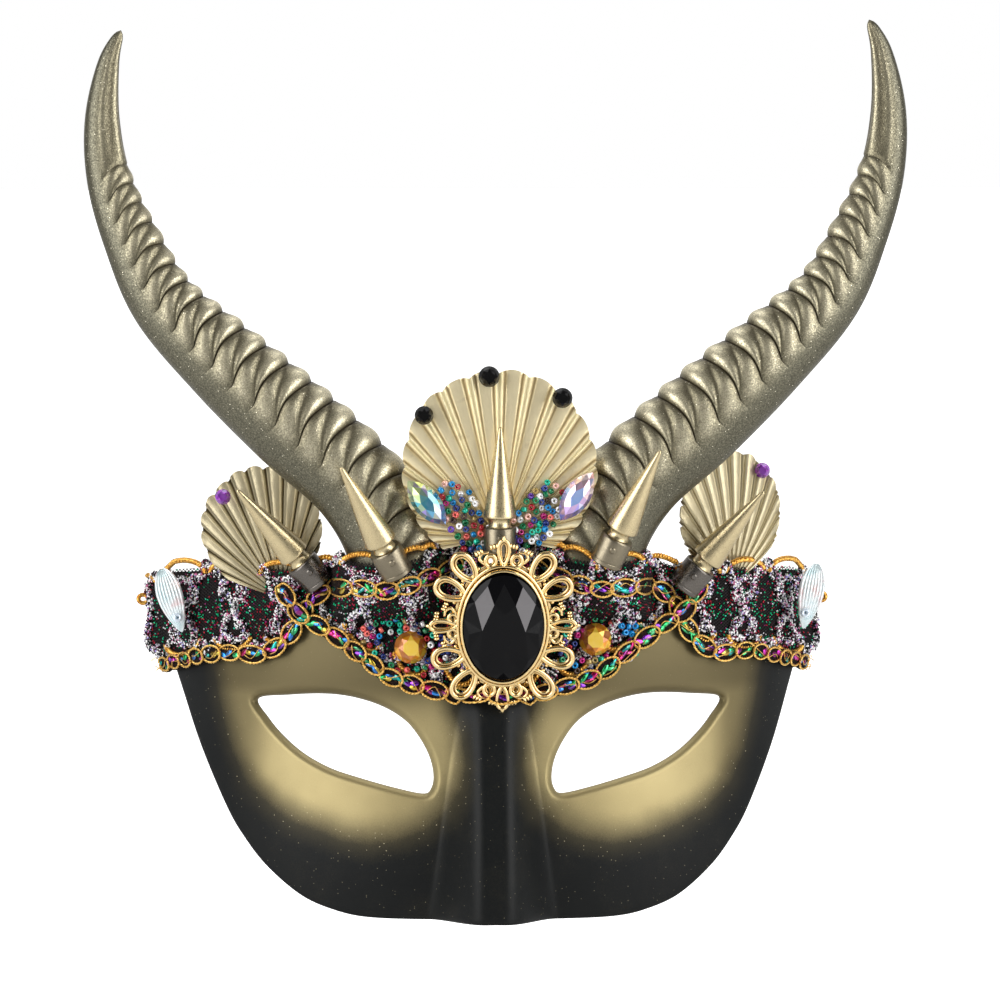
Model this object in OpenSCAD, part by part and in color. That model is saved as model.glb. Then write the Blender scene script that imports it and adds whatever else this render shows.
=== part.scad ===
// Half-face festival mask with ridged horns, scallop shells, cone spikes and jewelled trim.
// Frame: X to the viewer's right, Y away from the viewer towards the wearer, Z up.
// The origin is where the inside of the shell rests on the wearer's brow.

/* [Mask shell] */
// Wall thickness of the moulded shell
wall = 1.5; // [1.2:0.1:2.5]
// Half width of the ellipse that the shell wraps round
wrap_half = 95; // [94:1:110]
// Depth of that ellipse
wrap_depth = 88; // [60:1:95]
// How far the nose ridge stands out at the lower edge
nose_out = 16; // [8:1:22]
// How far the eye openings' rims roll inwards
rim_roll = 2; // [0.5:0.1:3]

/* [Strap holes] */
// Radius of the hole for a strap or ribbon at each side
strap_hole_r = 1.5; // [1:0.1:2.5]
// Length of the hole, which is the thickened ring around it
strap_hole_len = 3; // [2:0.1:4]

/* [Horns] */
// Wall thickness of the two horn shells
horn_wall = 1.4; // [1:0.1:2]
// Height of the ridges at the horn's inner side
ridge_h = 1.5; // [0.5:0.1:2.5]
// Number of ridges on each horn
ridges = 18; // [12:1:22]
// Length of the left horn against the drawn one
left_horn_scale = 0.992; // [0.96:0.002:1.04]
// Length of the right horn against the drawn one
right_horn_scale = 1.01; // [0.96:0.002:1.04]

/* [Shells] */
// Radius of the large scallop shell
shell_r = 26.6; // [20:0.2:30]
// Radius of the two small scallop shells
side_shell_r = 17; // [12:0.2:20]
// Thickness of the shells
shell_t = 0.8; // [0.5:0.1:1.5]

/* [Spikes] */
// Length of a spike's cone
cone_len = 25; // [15:0.5:32]
// Diameter of the cone at its foot
cone_d = 9; // [6:0.5:12]
// Length of the plain cylinder under each cone
base_len = 8; // [5:0.5:12]

/* [Centre jewel] */
// Width of the oval stone
stone_w = 22; // [16:1:26]
// Height of the oval stone
stone_h = 30; // [22:1:34]
// Tilt of the setting, its top towards the viewer
setting_tilt = 12; // [0:1:20]

/* [Trim] */
// Width of the gold braid
braid_w = 5.6; // [4:0.2:8]
// Thickness of the braid
braid_t = 1.6; // [1:0.1:2.5]
// Thickness of the lace
lace_t = 1.6; // [1:0.1:2.5]

/* [Hidden] */

// Half of the shell's outline, from the middle of the lower edge round to the middle of the top, as [x, z]
shell_outline = [
  [0, -61], [18, -61.2], [34, -61], [43, -59.4], [52, -55.8], [61.3, -48.3], [67.6, -40.5],
  [72.3, -32.5], [79.1, -16.5], [84.3, -0.6], [88, 11], [90.6, 21], [90.8, 27.5], [86, 31.5],
  [70, 32.5], [50, 31.5], [25, 30.5], [0, 30.5]
];
// One eye opening, as [x, z] on the right-hand side
eye_outline = [
  [63.8, -1.8], [55.4, -0.2], [45.7, 0.6], [37.7, -0.1], [29.8, -2.5], [23.6, -6.4], [19.6, -11.5],
  [17.1, -16.7], [16.2, -21.6], [16.9, -25], [19, -26.4], [26.7, -25], [36.3, -22.6], [44.2, -20.2],
  [51.4, -16.4], [57, -11.7], [61, -7]
];
eye_mid = [40, -12];
// Middle line of a horn with its radius, from foot to tip, as [x, y, z, r]
horn_line = [
  [26.5, 3, 31.5, 14.6], [29, 2.5, 45, 13.8], [39.4, 3, 60.3, 12.9], [56.8, 4, 76.1, 13],
  [75, 5.5, 92.7, 11.6], [91.5, 7.5, 109.2, 9.4], [100.6, 9.5, 126.7, 7.8], [106.7, 11.5, 143.3, 6.2],
  [108.6, 13, 160, 4.9], [106.8, 14, 176, 3], [103.4, 14.5, 185, 1.1]
];
horn_x = 0.7;          // the horns' shared middle line lies this far right of the shell's
horn_front = 0.72;     // depth of the horn's front against its radius
horn_back = 0.5;       // depth of the horn's back against its radius
ridge_start = 0.72;    // share of the horn that is ridged, from the foot
crest_x = 1.6;         // the crest's middle
setting_mid = [2.3, -10, 21.6];

// Spikes as [middle of the cone's foot, lean to the right, lean to the front]
spikes = [
  [[1.4, -11, 51.2], 0, 5],
  [[-31.4, -12.5, 44.7], -28, 18],
  [[34.8, -12.5, 47.9], 25, 14],
  [[-54.6, 6, 39.8], -41, 12],
  [[59.8, 9, 38.1], 39, 12]
];

// Braid routes on the shell, as [x, z]
upper_route = [
  [-88, 5], [-79, 8.6], [-70.5, 10.8], [-61.5, 11], [-56.5, 13.8], [-53, 17.8], [-50.4, 22.5],
  [-47.7, 27], [-42.5, 30.2], [-35.6, 31], [-27.5, 30.8], [-17.5, 33.8], [-8, 37]
];
lower_half = [
  [-56, 30.5], [-54, 27.5], [-50.4, 22.5], [-45.5, 19.6], [-39.8, 15.8], [-33.4, 11.2], [-27, 6.6],
  [-15, 2.8]
];

function clamp01(t) = min(1, max(0, t));
function smooth(t) = let (s = clamp01(t)) s * s * (3 - 2 * s);
function mix(a, b, t) = a + (b - a) * t;
function unit(v) = v / norm(v);
function flat(l) = [for (a = l) each a];
function mirrored(l) = [for (p = l) [-p[0], p[1]]];
function reversed(l) = [for (i = [len(l) - 1 : -1 : 0]) l[i]];

// A smooth curve through the points of p, at t from 0 to len(p) - 1
function curve_at(p, t, closed = false) = let (
  n = len(p),
  i = closed ? floor(t) : min(floor(t), n - 2),
  f = t - i,
  q = [for (k = [-1 : 2]) closed ? p[(i + k + n) % n] : p[min(max(i + k, 0), n - 1)]]
) 0.5 * ((2 * q[1]) + (q[2] - q[0]) * f + (2 * q[0] - 5 * q[1] + 4 * q[2] - q[3]) * f * f
  + (3 * q[1] - q[0] - 3 * q[2] + q[3]) * f * f * f);
function curve(p, steps, closed = false) =
  [for (i = [0 : (closed ? len(p) : len(p) - 1) * steps - (closed ? 1 : 0)]) curve_at(p, i / steps, closed)];

// Depth of the shell's inner face
function nose_at(x, z) = let (
  down = clamp01((3 - z) / 64),
  w = mix(9, 18, down)
) nose_out * pow(down, 0.8) * smooth((w - abs(x)) / (w - 2.6));
function socket_at(x, z) = 2.5 * exp(-pow((abs(x) - 40) / 24, 2) - pow((z + 12) / 16, 2));
function inside_y(x, z) = wrap_depth * (1 - sqrt(1 - pow(min(abs(x), wrap_half - 1) / wrap_half, 2)))
  - nose_at(x, z) + socket_at(x, z)
  + 2 * pow(max(z, 0) / 31, 2) + 2 * pow(max(-z - 35, 0) / 26, 2);
slope_step = 0.4;
// Unit vector out of the shell's front at a place
function outward(x, z) = unit([
  (inside_y(x + slope_step, z) - inside_y(x - slope_step, z)) / (2 * slope_step), -1,
  (inside_y(x, z + slope_step) - inside_y(x, z - slope_step)) / (2 * slope_step)
]);
// A point off the shell's inner face by a distance along its normal
function on_shell(x, z, off) = [x, inside_y(x, z), z] + off * outward(x, z);

// Closed solid between two grids of points that share their layout
module slab(outer, inner) {
  m = len(outer);
  n = len(outer[0]);
  k = m * n;
  polyhedron(
    points = concat(flat(outer), flat(inner)),
    faces = concat(
      [for (i = [0 : m - 2], j = [0 : n - 2]) each [
        [i * n + j, i * n + j + 1, (i + 1) * n + j], [i * n + j + 1, (i + 1) * n + j + 1, (i + 1) * n + j],
        [k + i * n + j + 1, k + i * n + j, k + (i + 1) * n + j],
        [k + (i + 1) * n + j + 1, k + i * n + j + 1, k + (i + 1) * n + j]
      ]],
      [for (i = [0 : m - 2]) each [
        [i * n, (i + 1) * n, k + i * n], [(i + 1) * n, k + (i + 1) * n, k + i * n],
        [(i + 1) * n + n - 1, i * n + n - 1, k + i * n + n - 1],
        [k + (i + 1) * n + n - 1, (i + 1) * n + n - 1, k + i * n + n - 1]
      ]],
      [for (j = [0 : n - 2]) each [
        [j + 1, j, k + j], [k + j + 1, j + 1, k + j],
        [(m - 1) * n + j, (m - 1) * n + j + 1, k + (m - 1) * n + j],
        [(m - 1) * n + j + 1, k + (m - 1) * n + j + 1, k + (m - 1) * n + j]
      ]]
    ),
    convexity = 8
  );
}

// ---- mask shell ----
centre_steps = 16;
ring_steps = 6;
function cross2(a, b) = a[0] * b[1] - a[1] * b[0];
// Where the line from the eye's middle to p meets the eye's outline
function eye_hit(p, outline) = let (
  d = p - eye_mid,
  n = len(outline),
  hits = [for (i = [0 : n - 1]) let (
    a = outline[i], e = outline[(i + 1) % n] - a, c = cross2(d, e),
    t = cross2(a - eye_mid, e) / c, s = cross2(a - eye_mid, d) / c
  ) if (t > 0 && s >= 0 && s < 1) eye_mid + t * d]
) hits[0];

module strap_hole_place(side) {
  p = [side * 85.5, 21];
  v = outward(p[0], p[1]);
  translate([p[0], inside_y(p[0], p[1]), p[1]])
    rotate([0, 90, atan2(v[1], v[0])])
      children();
}

module shell_body() {
  eye = curve(eye_outline, 3, true);
  rim = concat(
    [for (i = [0 : centre_steps - 1]) [0, mix(30.5, -61, i / centre_steps)]],
    [for (i = [0 : (len(shell_outline) - 1) * 3 - 1]) curve_at(shell_outline, i / 3)]
  );
  m = len(rim);
  n = ring_steps + 3;
  half_rings = [for (p = rim) let (e = eye_hit(p, eye), d = norm(p - e), u = (p - e) / d)
    [for (k = [0 : n - 1]) k < 3 ? concat(e + u * k * 1.1, rim_roll * pow(1 - k / 2.2, 2) * (k < 2.2 ? 1 : 0))
      : concat(e + u * mix(2.2, d, (k - 2) / ring_steps), 0)]];
  function place(side, q, off) = let (v = outward(side * q[0], q[1]))
    [side * q[0], inside_y(q[0], q[1]) + q[2], q[1]] + off * v;
  points = [for (off = [wall, 0], side = [1, -1], ring = half_rings, q = ring) place(side, q, off)];
  layer = 2 * m * n;
  function id(face, half, i, k) = let (j = i % m)
    face * layer + ((half == 1 && k == n - 1 && (j <= centre_steps)) ? j * n + k : half * m * n + j * n + k);
  function turn(t, flip) = flip ? [t[0], t[2], t[1]] : t;
  faces = [for (half = [0, 1], i = [0 : m - 1]) each concat(
    [for (face = [0, 1], k = [0 : n - 2]) each [
      turn([id(face, half, i, k), id(face, half, i, k + 1), id(face, half, i + 1, k)],
        (half + face) % 2 == 0),
      turn([id(face, half, i, k + 1), id(face, half, i + 1, k + 1), id(face, half, i + 1, k)],
        (half + face) % 2 == 0)
    ]],
    [for (k = i < centre_steps ? [0] : [0, n - 1]) each [
      turn([id(0, half, i, k), id(0, half, i + 1, k), id(1, half, i, k)],
        (half + (k == 0 ? 0 : 1)) % 2 == 0),
      turn([id(0, half, i + 1, k), id(1, half, i + 1, k), id(1, half, i, k)],
        (half + (k == 0 ? 0 : 1)) % 2 == 0)
    ]]
  )];
  polyhedron(points = points, faces = faces, convexity = 8);
}

module mask_shell() {
  color([0.28, 0.26, 0.19])
    difference() {
      union() {
        shell_body();
        for (side = [-1, 1])
          strap_hole_place(side)
            translate([0, 0, wall - strap_hole_len])
              cylinder(h = strap_hole_len, r = strap_hole_r + 1.6, $fn = 48);
      }
      for (side = [-1, 1])
        strap_hole_place(side)
          translate([0, 0, wall - 2 * strap_hole_len])
            cylinder(h = 4 * strap_hole_len, r = strap_hole_r, $fn = 48);
    }
}

// ---- horns ----
horn_rings = ridges * 3;
function horn_at(t) = curve_at(horn_line, t * (len(horn_line) - 1));
function horn_dir(t) = let (a = horn_at(clamp01(t - 0.01)), b = horn_at(clamp01(t + 0.01)), d = b - a)
  unit([d[0], d[1], d[2]]);
// Height of the ridges at a share t of the horn's length, at an angle from its inner side
function ridge_at(t, angle) = t > ridge_start ? 0
  : ridge_h * (0.5 + 0.5 * (1 - t / ridge_start)) * smooth((115 - abs(angle)) / 80)
    * (abs(sin(180 * ridges * t / ridge_start)) - 0.45);
function horn_point(t, angle, in) = let (
  c = horn_at(t),
  d = horn_dir(t),
  up = unit([-d[2], 0, d[0]]),
  front = cross(d, up),
  r = max(c[3] + ridge_at(t, angle) - in, c[3] * 0.3),
  deep = (angle > 0 ? horn_front : horn_back)
) [c[0], c[1], c[2]] + r * (cos(angle) * up + deep * sin(abs(angle)) * (angle > 0 ? front : -front));
function horn_stops() = concat(
  [for (i = [0 : horn_rings]) ridge_start * i / horn_rings],
  [for (i = [1 : 9]) mix(ridge_start, 1, i / 9)]
);

// One half of a horn: side 1 is its front and side -1 its back
module horn_half(side) {
  steps = side > 0 ? 10 : 7;
  stops = horn_stops();
  grids = [for (in = [0, horn_wall]) [for (t = stops) [for (j = [0 : steps])
    horn_point(t, side * max(0.01, 180 * j / steps), in)]]];
  if (side > 0) slab(grids[1], grids[0]);
  else slab(grids[0], grids[1]);
}

module horn_place(right) {
  foot = [26.5, 3, 31.5];
  translate([horn_x, 0, 0])
    mirror([right ? 0 : 1, 0, 0])
      translate(foot)
        scale(right ? right_horn_scale : left_horn_scale)
          translate(-foot)
            children();
}
module horn_left_front() { color([0.45, 0.42, 0.33]) horn_place(false) horn_half(1); }
module horn_left_back() { color([0.3, 0.29, 0.25]) horn_place(false) horn_half(-1); }
module horn_right_front() { color([0.45, 0.42, 0.33]) horn_place(true) horn_half(1); }
module horn_right_back() { color([0.3, 0.29, 0.25]) horn_place(true) horn_half(-1); }

// Bead of glue that holds a horn's foot to the shell's top edge
module horn_glue(right) {
  color([0.75, 0.7, 0.55])
    horn_place(right)
      translate([26.5, 4.5, 28.5])
        scale([1, 0.42, 0.55])
          sphere(r = 11, $fn = 24);
}
module horn_glue_left() { horn_glue(false); }
module horn_glue_right() { horn_glue(true); }

// ---- scallop shells ----
// Fan of folds round its hinge at the origin, opening along +Z and facing -Y.
// big_r is the outline circle's radius, and reach is how far its middle lies above the hinge.
module scallop(big_r, reach, half_angle, folds, fold_h, bow, per_fold) {
  steps = folds * per_fold;
  rows = 4;
  function edge(a) = reach * cos(a) + sqrt(max(big_r * big_r - pow(reach * sin(a), 2), 0));
  function place(a, q, off) = let (
    r = mix(1.5, edge(a) + 0.45 * abs(sin(180 * folds * (a + half_angle) / (2 * half_angle))), q),
    y = -bow * sin(150 * q) - fold_h * q * abs(sin(180 * folds * (a + half_angle) / (2 * half_angle)))
  ) [r * sin(a), y + off, r * cos(a)];
  angles = [for (i = [0 : steps]) mix(-half_angle, half_angle, i / steps)];
  slab(
    [for (a = angles) [for (j = [0 : rows]) place(a, j / rows, 0)]],
    [for (a = angles) [for (j = [0 : rows]) place(a, j / rows, shell_t)]]
  );
}
module scallop_centre() {
  color([0.82, 0.72, 0.48])
    translate([crest_x, -6.2, 45.2])
      rotate([-3, 0, 0])
        scallop(shell_r, 19, 102, 19, 1.5, 1.6, 4);
}
module side_scallop(place, lean, turn) {
  color([0.72, 0.65, 0.45])
    translate(place)
      rotate([0, lean, turn])
        scallop(side_shell_r, 20.6, 54, 18, 1, 1.2, 3);
}
module scallop_left() { side_scallop([-57.3, 15.5, 26.5], -17, -15); }
module scallop_right() { side_scallop([67.3, 22, 29], -3, 33); }

// ---- spikes ----
neck_len = 2.7;
neck_d = 6.8;
module spike_place(i) {
  translate(spikes[i][0])
    rotate([0, spikes[i][1], 0])
      rotate([spikes[i][2], 0, 0])
        children();
}
module spike_cone(i) {
  color([0.78, 0.7, 0.48])
    spike_place(i) {
      rotate_extrude($fn = 48)
        polygon([[0, 0], [cone_d / 2 - 0.3, 0], [cone_d / 2, 0.4], [0.5, cone_len - 0.5], [0, cone_len]]);
      translate([0, 0, -neck_len])
        cylinder(h = neck_len + 0.01, d = neck_d, $fn = 48);
    }
}
module spike_base(i) {
  color([0.33, 0.3, 0.25])
    spike_place(i) {
      translate([0, 0, -neck_len - base_len])
        cylinder(h = base_len, d = cone_d, $fn = 48);
      translate([0, -cone_d / 2 + 0.3, -neck_len - base_len * 0.35])
        rotate([90, 0, 0])
          cylinder(h = 0.7, d = 1.6, $fn = 24);
    }
}
module spike_cone_centre() { spike_cone(0); }
module spike_cone_inner_left() { spike_cone(1); }
module spike_cone_inner_right() { spike_cone(2); }
module spike_cone_outer_left() { spike_cone(3); }
module spike_cone_outer_right() { spike_cone(4); }
module spike_base_centre() { spike_base(0); }
module spike_base_inner_left() { spike_base(1); }
module spike_base_inner_right() { spike_base(2); }
module spike_base_outer_left() { spike_base(3); }
module spike_base_outer_right() { spike_base(4); }

// ---- centre jewel ----
plate_t = 1.4;
bezel_h = 2.2;
module setting_place() {
  translate(setting_mid)
    rotate([90 + setting_tilt, 0, 0])
      children();
}
function oval(a, b, n = 48) = [for (i = [0 : n - 1]) [a * cos(360 * i / n), b * sin(360 * i / n)]];
// Outline of one petal: narrow at the foot, round at the end
function petal(len, w) = [for (i = [0 : 23]) let (t = 15 * i, s = (1 - cos(t)) / 2)
  [w / 2 * sin(t) * (0.55 + 0.45 * s), len * s]];
module petal_loop(len, w, line) {
  difference() {
    polygon(petal(len, w));
    translate([0, line])
      polygon(petal(len - 2 * line, w - 2 * line));
  }
}
petal_turns = [34, 66, 114, 146, 214, 246, 294, 326];
module jewel_setting() {
  color([0.9, 0.75, 0.42])
    setting_place() {
      linear_extrude(plate_t)
        offset(r = 0.1, $fn = 8) {
          difference() {
            polygon(oval(stone_w / 2 + 1.6, stone_h / 2 + 1.6));
            polygon(oval(stone_w / 2 - 2.5, stone_h / 2 - 2.5));
          }
          for (a = petal_turns)
            translate([(stone_w / 2 + 0.3) * cos(a), (stone_h / 2 + 0.3) * sin(a)])
              rotate(atan2(sin(a) * 1.08, cos(a)) - 90)
                petal_loop(9.2, 7.6, 1.1);
          for (a = [0, 90, 180, 270])
            translate([(stone_w / 2 + 2.9) * cos(a), (stone_h / 2 + 2.9) * sin(a)])
              rotate(a - 90) {
                for (side = [-1, 1])
                  translate([side * 2.1, 0])
                    difference() {
                      circle(r = 2.3, $fn = 24);
                      circle(r = 1.1, $fn = 24);
                    }
                translate([0, 0.8])
                  petal_loop(6.6, 4, 1);
              }
        }
      linear_extrude(bezel_h)
        difference() {
          polygon(oval(stone_w / 2 + 1, stone_h / 2 + 1));
          polygon(oval(stone_w / 2 + 0.05, stone_h / 2 + 0.05));
        }
    }
}
module oval_stone() {
  crown_h = 5;
  rings = [[1, 0], [1, 0.28], [0.8, 0.72], [0.48, 1]];
  sides = 16;
  color([0.03, 0.03, 0.04])
    setting_place()
      translate([0, 0, plate_t])
        polyhedron(
          points = [for (q = rings, i = [0 : sides - 1])
            [stone_w / 2 * q[0] * cos(360 * i / sides), stone_h / 2 * q[0] * sin(360 * i / sides),
             crown_h * q[1]]],
          faces = concat(
            [for (r = [0 : 2], i = [0 : sides - 1]) each [
              [r * sides + i, (r + 1) * sides + i, (r + 1) * sides + (i + 1) % sides],
              [r * sides + i, (r + 1) * sides + (i + 1) % sides, r * sides + (i + 1) % sides]]],
            [[for (i = [0 : sides - 1]) i], [for (i = [sides - 1 : -1 : 0]) 3 * sides + i]]
          )
        );
}
// Glue block between the setting and the shell's brow
module jewel_pad() {
  color([0.75, 0.7, 0.55])
    setting_place()
      translate([0, 0, -5])
        linear_extrude(5)
          polygon(oval(stone_w / 2 - 1, stone_h / 2 - 4, 24));
}

// ---- trim ----
// Strip of a width along a route on the shell, its back a distance off the inner face
module ribbon(route, width, back, thick, waves = 0) {
  n = len(route);
  function along(i) = unit(route[min(i + 1, n - 1)] - route[max(i - 1, 0)]);
  function half(i) = width / 2 * (waves == 0 ? 1 : 0.84 + 0.16 * cos(360 * waves * i / (n - 1)));
  function rim(i, s) = route[i] + s * half(i) * [-along(i)[1], along(i)[0]];
  function row(off) = [for (i = [0 : n - 1]) [for (s = [-1, 0, 1]) let (p = rim(i, s))
    on_shell(min(max(p[0], -92), 92), p[1], off)]];
  slab(row(back + thick), row(back));
}
braid_off = wall + 1.7;
module braid_upper_left() {
  color([0.8, 0.5, 0.15]) ribbon(curve(upper_route, 4), braid_w, braid_off, braid_t, 22);
}
module braid_upper_right() {
  color([0.8, 0.5, 0.15]) ribbon(curve(reversed(mirrored(upper_route)), 4), braid_w, braid_off, braid_t, 22);
}
module braid_lower() {
  route = concat(lower_half, [[1.5, 0.2]], reversed(mirrored(lower_half)));
  color([0.8, 0.5, 0.15]) ribbon(curve(route, 4), braid_w, braid_off + braid_t, braid_t, 32);
}

// Lace between a lower and an upper edge over a range of x, its top in arches
module lace(from, to, low, high, arches, arch_h) {
  steps = arches * 4;
  function edge(l, x) = lookup(abs(x), l);
  function row(off) = [for (i = [0 : steps]) let (x = mix(from, to, i / steps))
    [for (t = [0, 0.5, 1]) let (
      top = edge(high, x) - arch_h + arch_h * abs(sin(180 * arches * i / steps)),
      z = mix(edge(low, x), top, t)
    ) on_shell(x, z, off)]];
  slab(row(wall + lace_t), row(wall + 0.02));
}
side_low = [[48, 24], [53, 17], [58, 13], [62, 11], [70, 10.5], [80, 8.5], [88, 5.5], [92, 8]];
side_high = [[48, 33], [60, 34.5], [75, 35], [85, 34], [92, 30]];
mid_low = [[8, 1.5], [15, 3], [27, 7], [33, 11.5], [40, 16], [46, 20], [50, 23]];
mid_high = [[8, 34], [17, 34], [30, 36], [42, 36], [50, 30]];
module lace_left() { color([0.2, 0.18, 0.2]) lace(-92, -50, side_low, side_high, 6, 2.5); }
module lace_right() { color([0.2, 0.18, 0.2]) lace(50, 92, side_low, side_high, 6, 2.5); }
module lace_centre_left() { color([0.2, 0.18, 0.2]) lace(-49.6, -8, mid_low, mid_high, 5, 2); }
module lace_centre_right() { color([0.2, 0.18, 0.2]) lace(8, 49.6, mid_low, mid_high, 5, 2); }

// ---- stones ----
// Faceted round stone on its flat back, facing -Y
module round_stone(place, d, h) {
  translate(place)
    rotate([90, 0, 0])
      union() {
        cylinder(h = h * 0.3, d = d, $fn = 48);
        translate([0, 0, h * 0.3])
          cylinder(h = h * 0.7, d1 = d, d2 = d * 0.55, $fn = 48);
      }
}
module amber_stone(x, z) { color([0.95, 0.55, 0.05]) round_stone([x, on_shell(x, z, 4)[1], z], 9, 3.4); }
module amber_stone_left() { amber_stone(-22.8, 14.6); }
module amber_stone_right() { amber_stone(28.2, 16.5); }
module rhinestone_left() { color([0.05, 0.05, 0.06]) round_stone([-19.3, -7.4, 79], 5.2, 3); }
module rhinestone_top() { color([0.05, 0.05, 0.06]) round_stone([-1.4, -7.2, 89.6], 5.8, 3.2); }
module rhinestone_right() { color([0.05, 0.05, 0.06]) round_stone([18.7, -7.4, 83.7], 5.6, 3.1); }
module purple_stone_left() { color([0.45, 0.05, 0.6]) round_stone([-74.2, 12, 55.4], 4.2, 2.4); }
module purple_stone_right() { color([0.45, 0.05, 0.6]) round_stone([76.2, 25.5, 61.4], 4.4, 2.4); }

// Pointed oval stone, facing -Y
module marquise(place, turn) {
  long = 16;
  wide = 7.4;
  h = 3.6;
  lens_r = (long * long + wide * wide) / (4 * wide);
  function lens(k) = [for (i = [0 : 11]) let (
    side = i < 6 ? 1 : -1, s = i < 6 ? i / 6 : (i - 6) / 6,
    x = side * mix(long / 2, -long / 2, s),
    y = side * (sqrt(lens_r * lens_r - x * x) - (lens_r - wide / 2))
  ) [k * x, k * y]];
  rings = [[1, 0], [1, 0.25], [0.75, 0.75], [0.42, 1]];
  translate(place)
    rotate([90, -turn, 0])
      polyhedron(
        points = [for (q = rings, p = lens(q[0])) [p[0], p[1], h * q[1]]],
        faces = concat(
          [for (r = [0 : 2], i = [0 : 11]) each [
            [r * 12 + i, (r + 1) * 12 + i, (r + 1) * 12 + (i + 1) % 12],
            [r * 12 + i, (r + 1) * 12 + (i + 1) % 12, r * 12 + (i + 1) % 12]]],
          [[for (i = [0 : 11]) i], [for (i = [11 : -1 : 0]) 36 + i]]
        )
      );
}
module marquise_left() { color([0.55, 0.65, 0.7]) marquise([-18.7, -10.5, 55.2], -49); }
module marquise_right() { color([0.7, 0.6, 0.75]) marquise([22.5, -10.5, 56.8], 56); }

// Ribbed drop sequin, facing -Y, hanging from its round end
module drop_sequin(place, turn, yaw) {
  long = 18.6;
  wide = 7.4;
  steps = 16;
  function outline(t) = wide / 2 * pow(sin(180 * pow(clamp01(t * 0.985 + 0.01), 0.75)), 0.7);
  function row(off) = [for (i = [0 : steps]) let (t = i / steps, w = outline(t))
    [for (j = [-3 : 3]) [w * j / 3, off + 0.35 * cos(60 * j) - 1.2 * sin(180 * t), -long * t]]];
  color([0.75, 0.85, 0.88])
    translate(place)
      rotate([0, turn, yaw])
        slab(row(0), row(0.5));
}
module drop_sequin_left() { drop_sequin([-89.6, 39.5, 33.5], -18, -12); }
module drop_sequin_right() { drop_sequin([91.2, 40.5, 34.2], 12, 12); }
module sequin_bead(place) { color([0.8, 0.85, 0.9]) translate(place) sphere(d = 2.6, $fn = 32); }
module sequin_bead_left() { sequin_bead([-85.4, 37, 20]); }
module sequin_bead_right() { sequin_bead([88, 38, 20.6]); }

// ---- seed beads ----
bead_d = 1.9;
// Rows of beads that fill an oval of half sizes w and h round a place, offset in every other row
module seed_beads(place, w, h, turn, skip = 0) {
  pitch = bead_d * 1.35;
  color([0.15, 0.45, 0.5])
    for (j = [-floor(h / pitch) : floor(h / pitch)], i = [-floor(w / pitch) : floor(w / pitch)])
      let (x = (i + (j % 2 == 0 ? 0 : 0.5)) * pitch, z = j * pitch * 0.9, q = pow(x / w, 2) + pow(z / h, 2))
        if (q <= 1 && q >= skip)
          let (c = [place[0] + x * cos(turn) - z * sin(turn), place[2] + x * sin(turn) + z * cos(turn)],
            y = place[1] == 0 ? on_shell(c[0], c[1], wall + lace_t + bead_d / 2)[1] : place[1])
            translate([c[0], y, c[1]])
              sphere(d = bead_d, $fn = 24);
}
module seed_beads_crest_left() { seed_beads([-8.6, -9.4, 50.5], 5, 9.5, 38); }
module seed_beads_crest_right() { seed_beads([12, -9.4, 50.5], 5, 9.5, -38); }
module seed_beads_amber_left() { seed_beads([-23.5, 0, 15], 10.5, 8.5, -15, 0.42); }
module seed_beads_amber_right() { seed_beads([28.5, 0, 17], 10.5, 8.5, 15, 0.42); }

mask_shell();
horn_left_front();
horn_left_back();
horn_right_front();
horn_right_back();
horn_glue_left();
horn_glue_right();
scallop_centre();
scallop_left();
scallop_right();
spike_cone_centre();
spike_cone_inner_left();
spike_cone_inner_right();
spike_cone_outer_left();
spike_cone_outer_right();
spike_base_centre();
spike_base_inner_left();
spike_base_inner_right();
spike_base_outer_left();
spike_base_outer_right();
jewel_setting();
jewel_pad();
oval_stone();
lace_left();
lace_right();
lace_centre_left();
lace_centre_right();
braid_upper_left();
braid_upper_right();
braid_lower();
marquise_left();
marquise_right();
amber_stone_left();
amber_stone_right();
rhinestone_left();
rhinestone_top();
rhinestone_right();
purple_stone_left();
purple_stone_right();
drop_sequin_left();
drop_sequin_right();
sequin_bead_left();
sequin_bead_right();
seed_beads_crest_left();
seed_beads_crest_right();
seed_beads_amber_left();
seed_beads_amber_right();
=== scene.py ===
import math
import bpy
import bmesh
import numpy as np
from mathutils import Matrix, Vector
from mathutils.geometry import delaunay_2d_cdt


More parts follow.
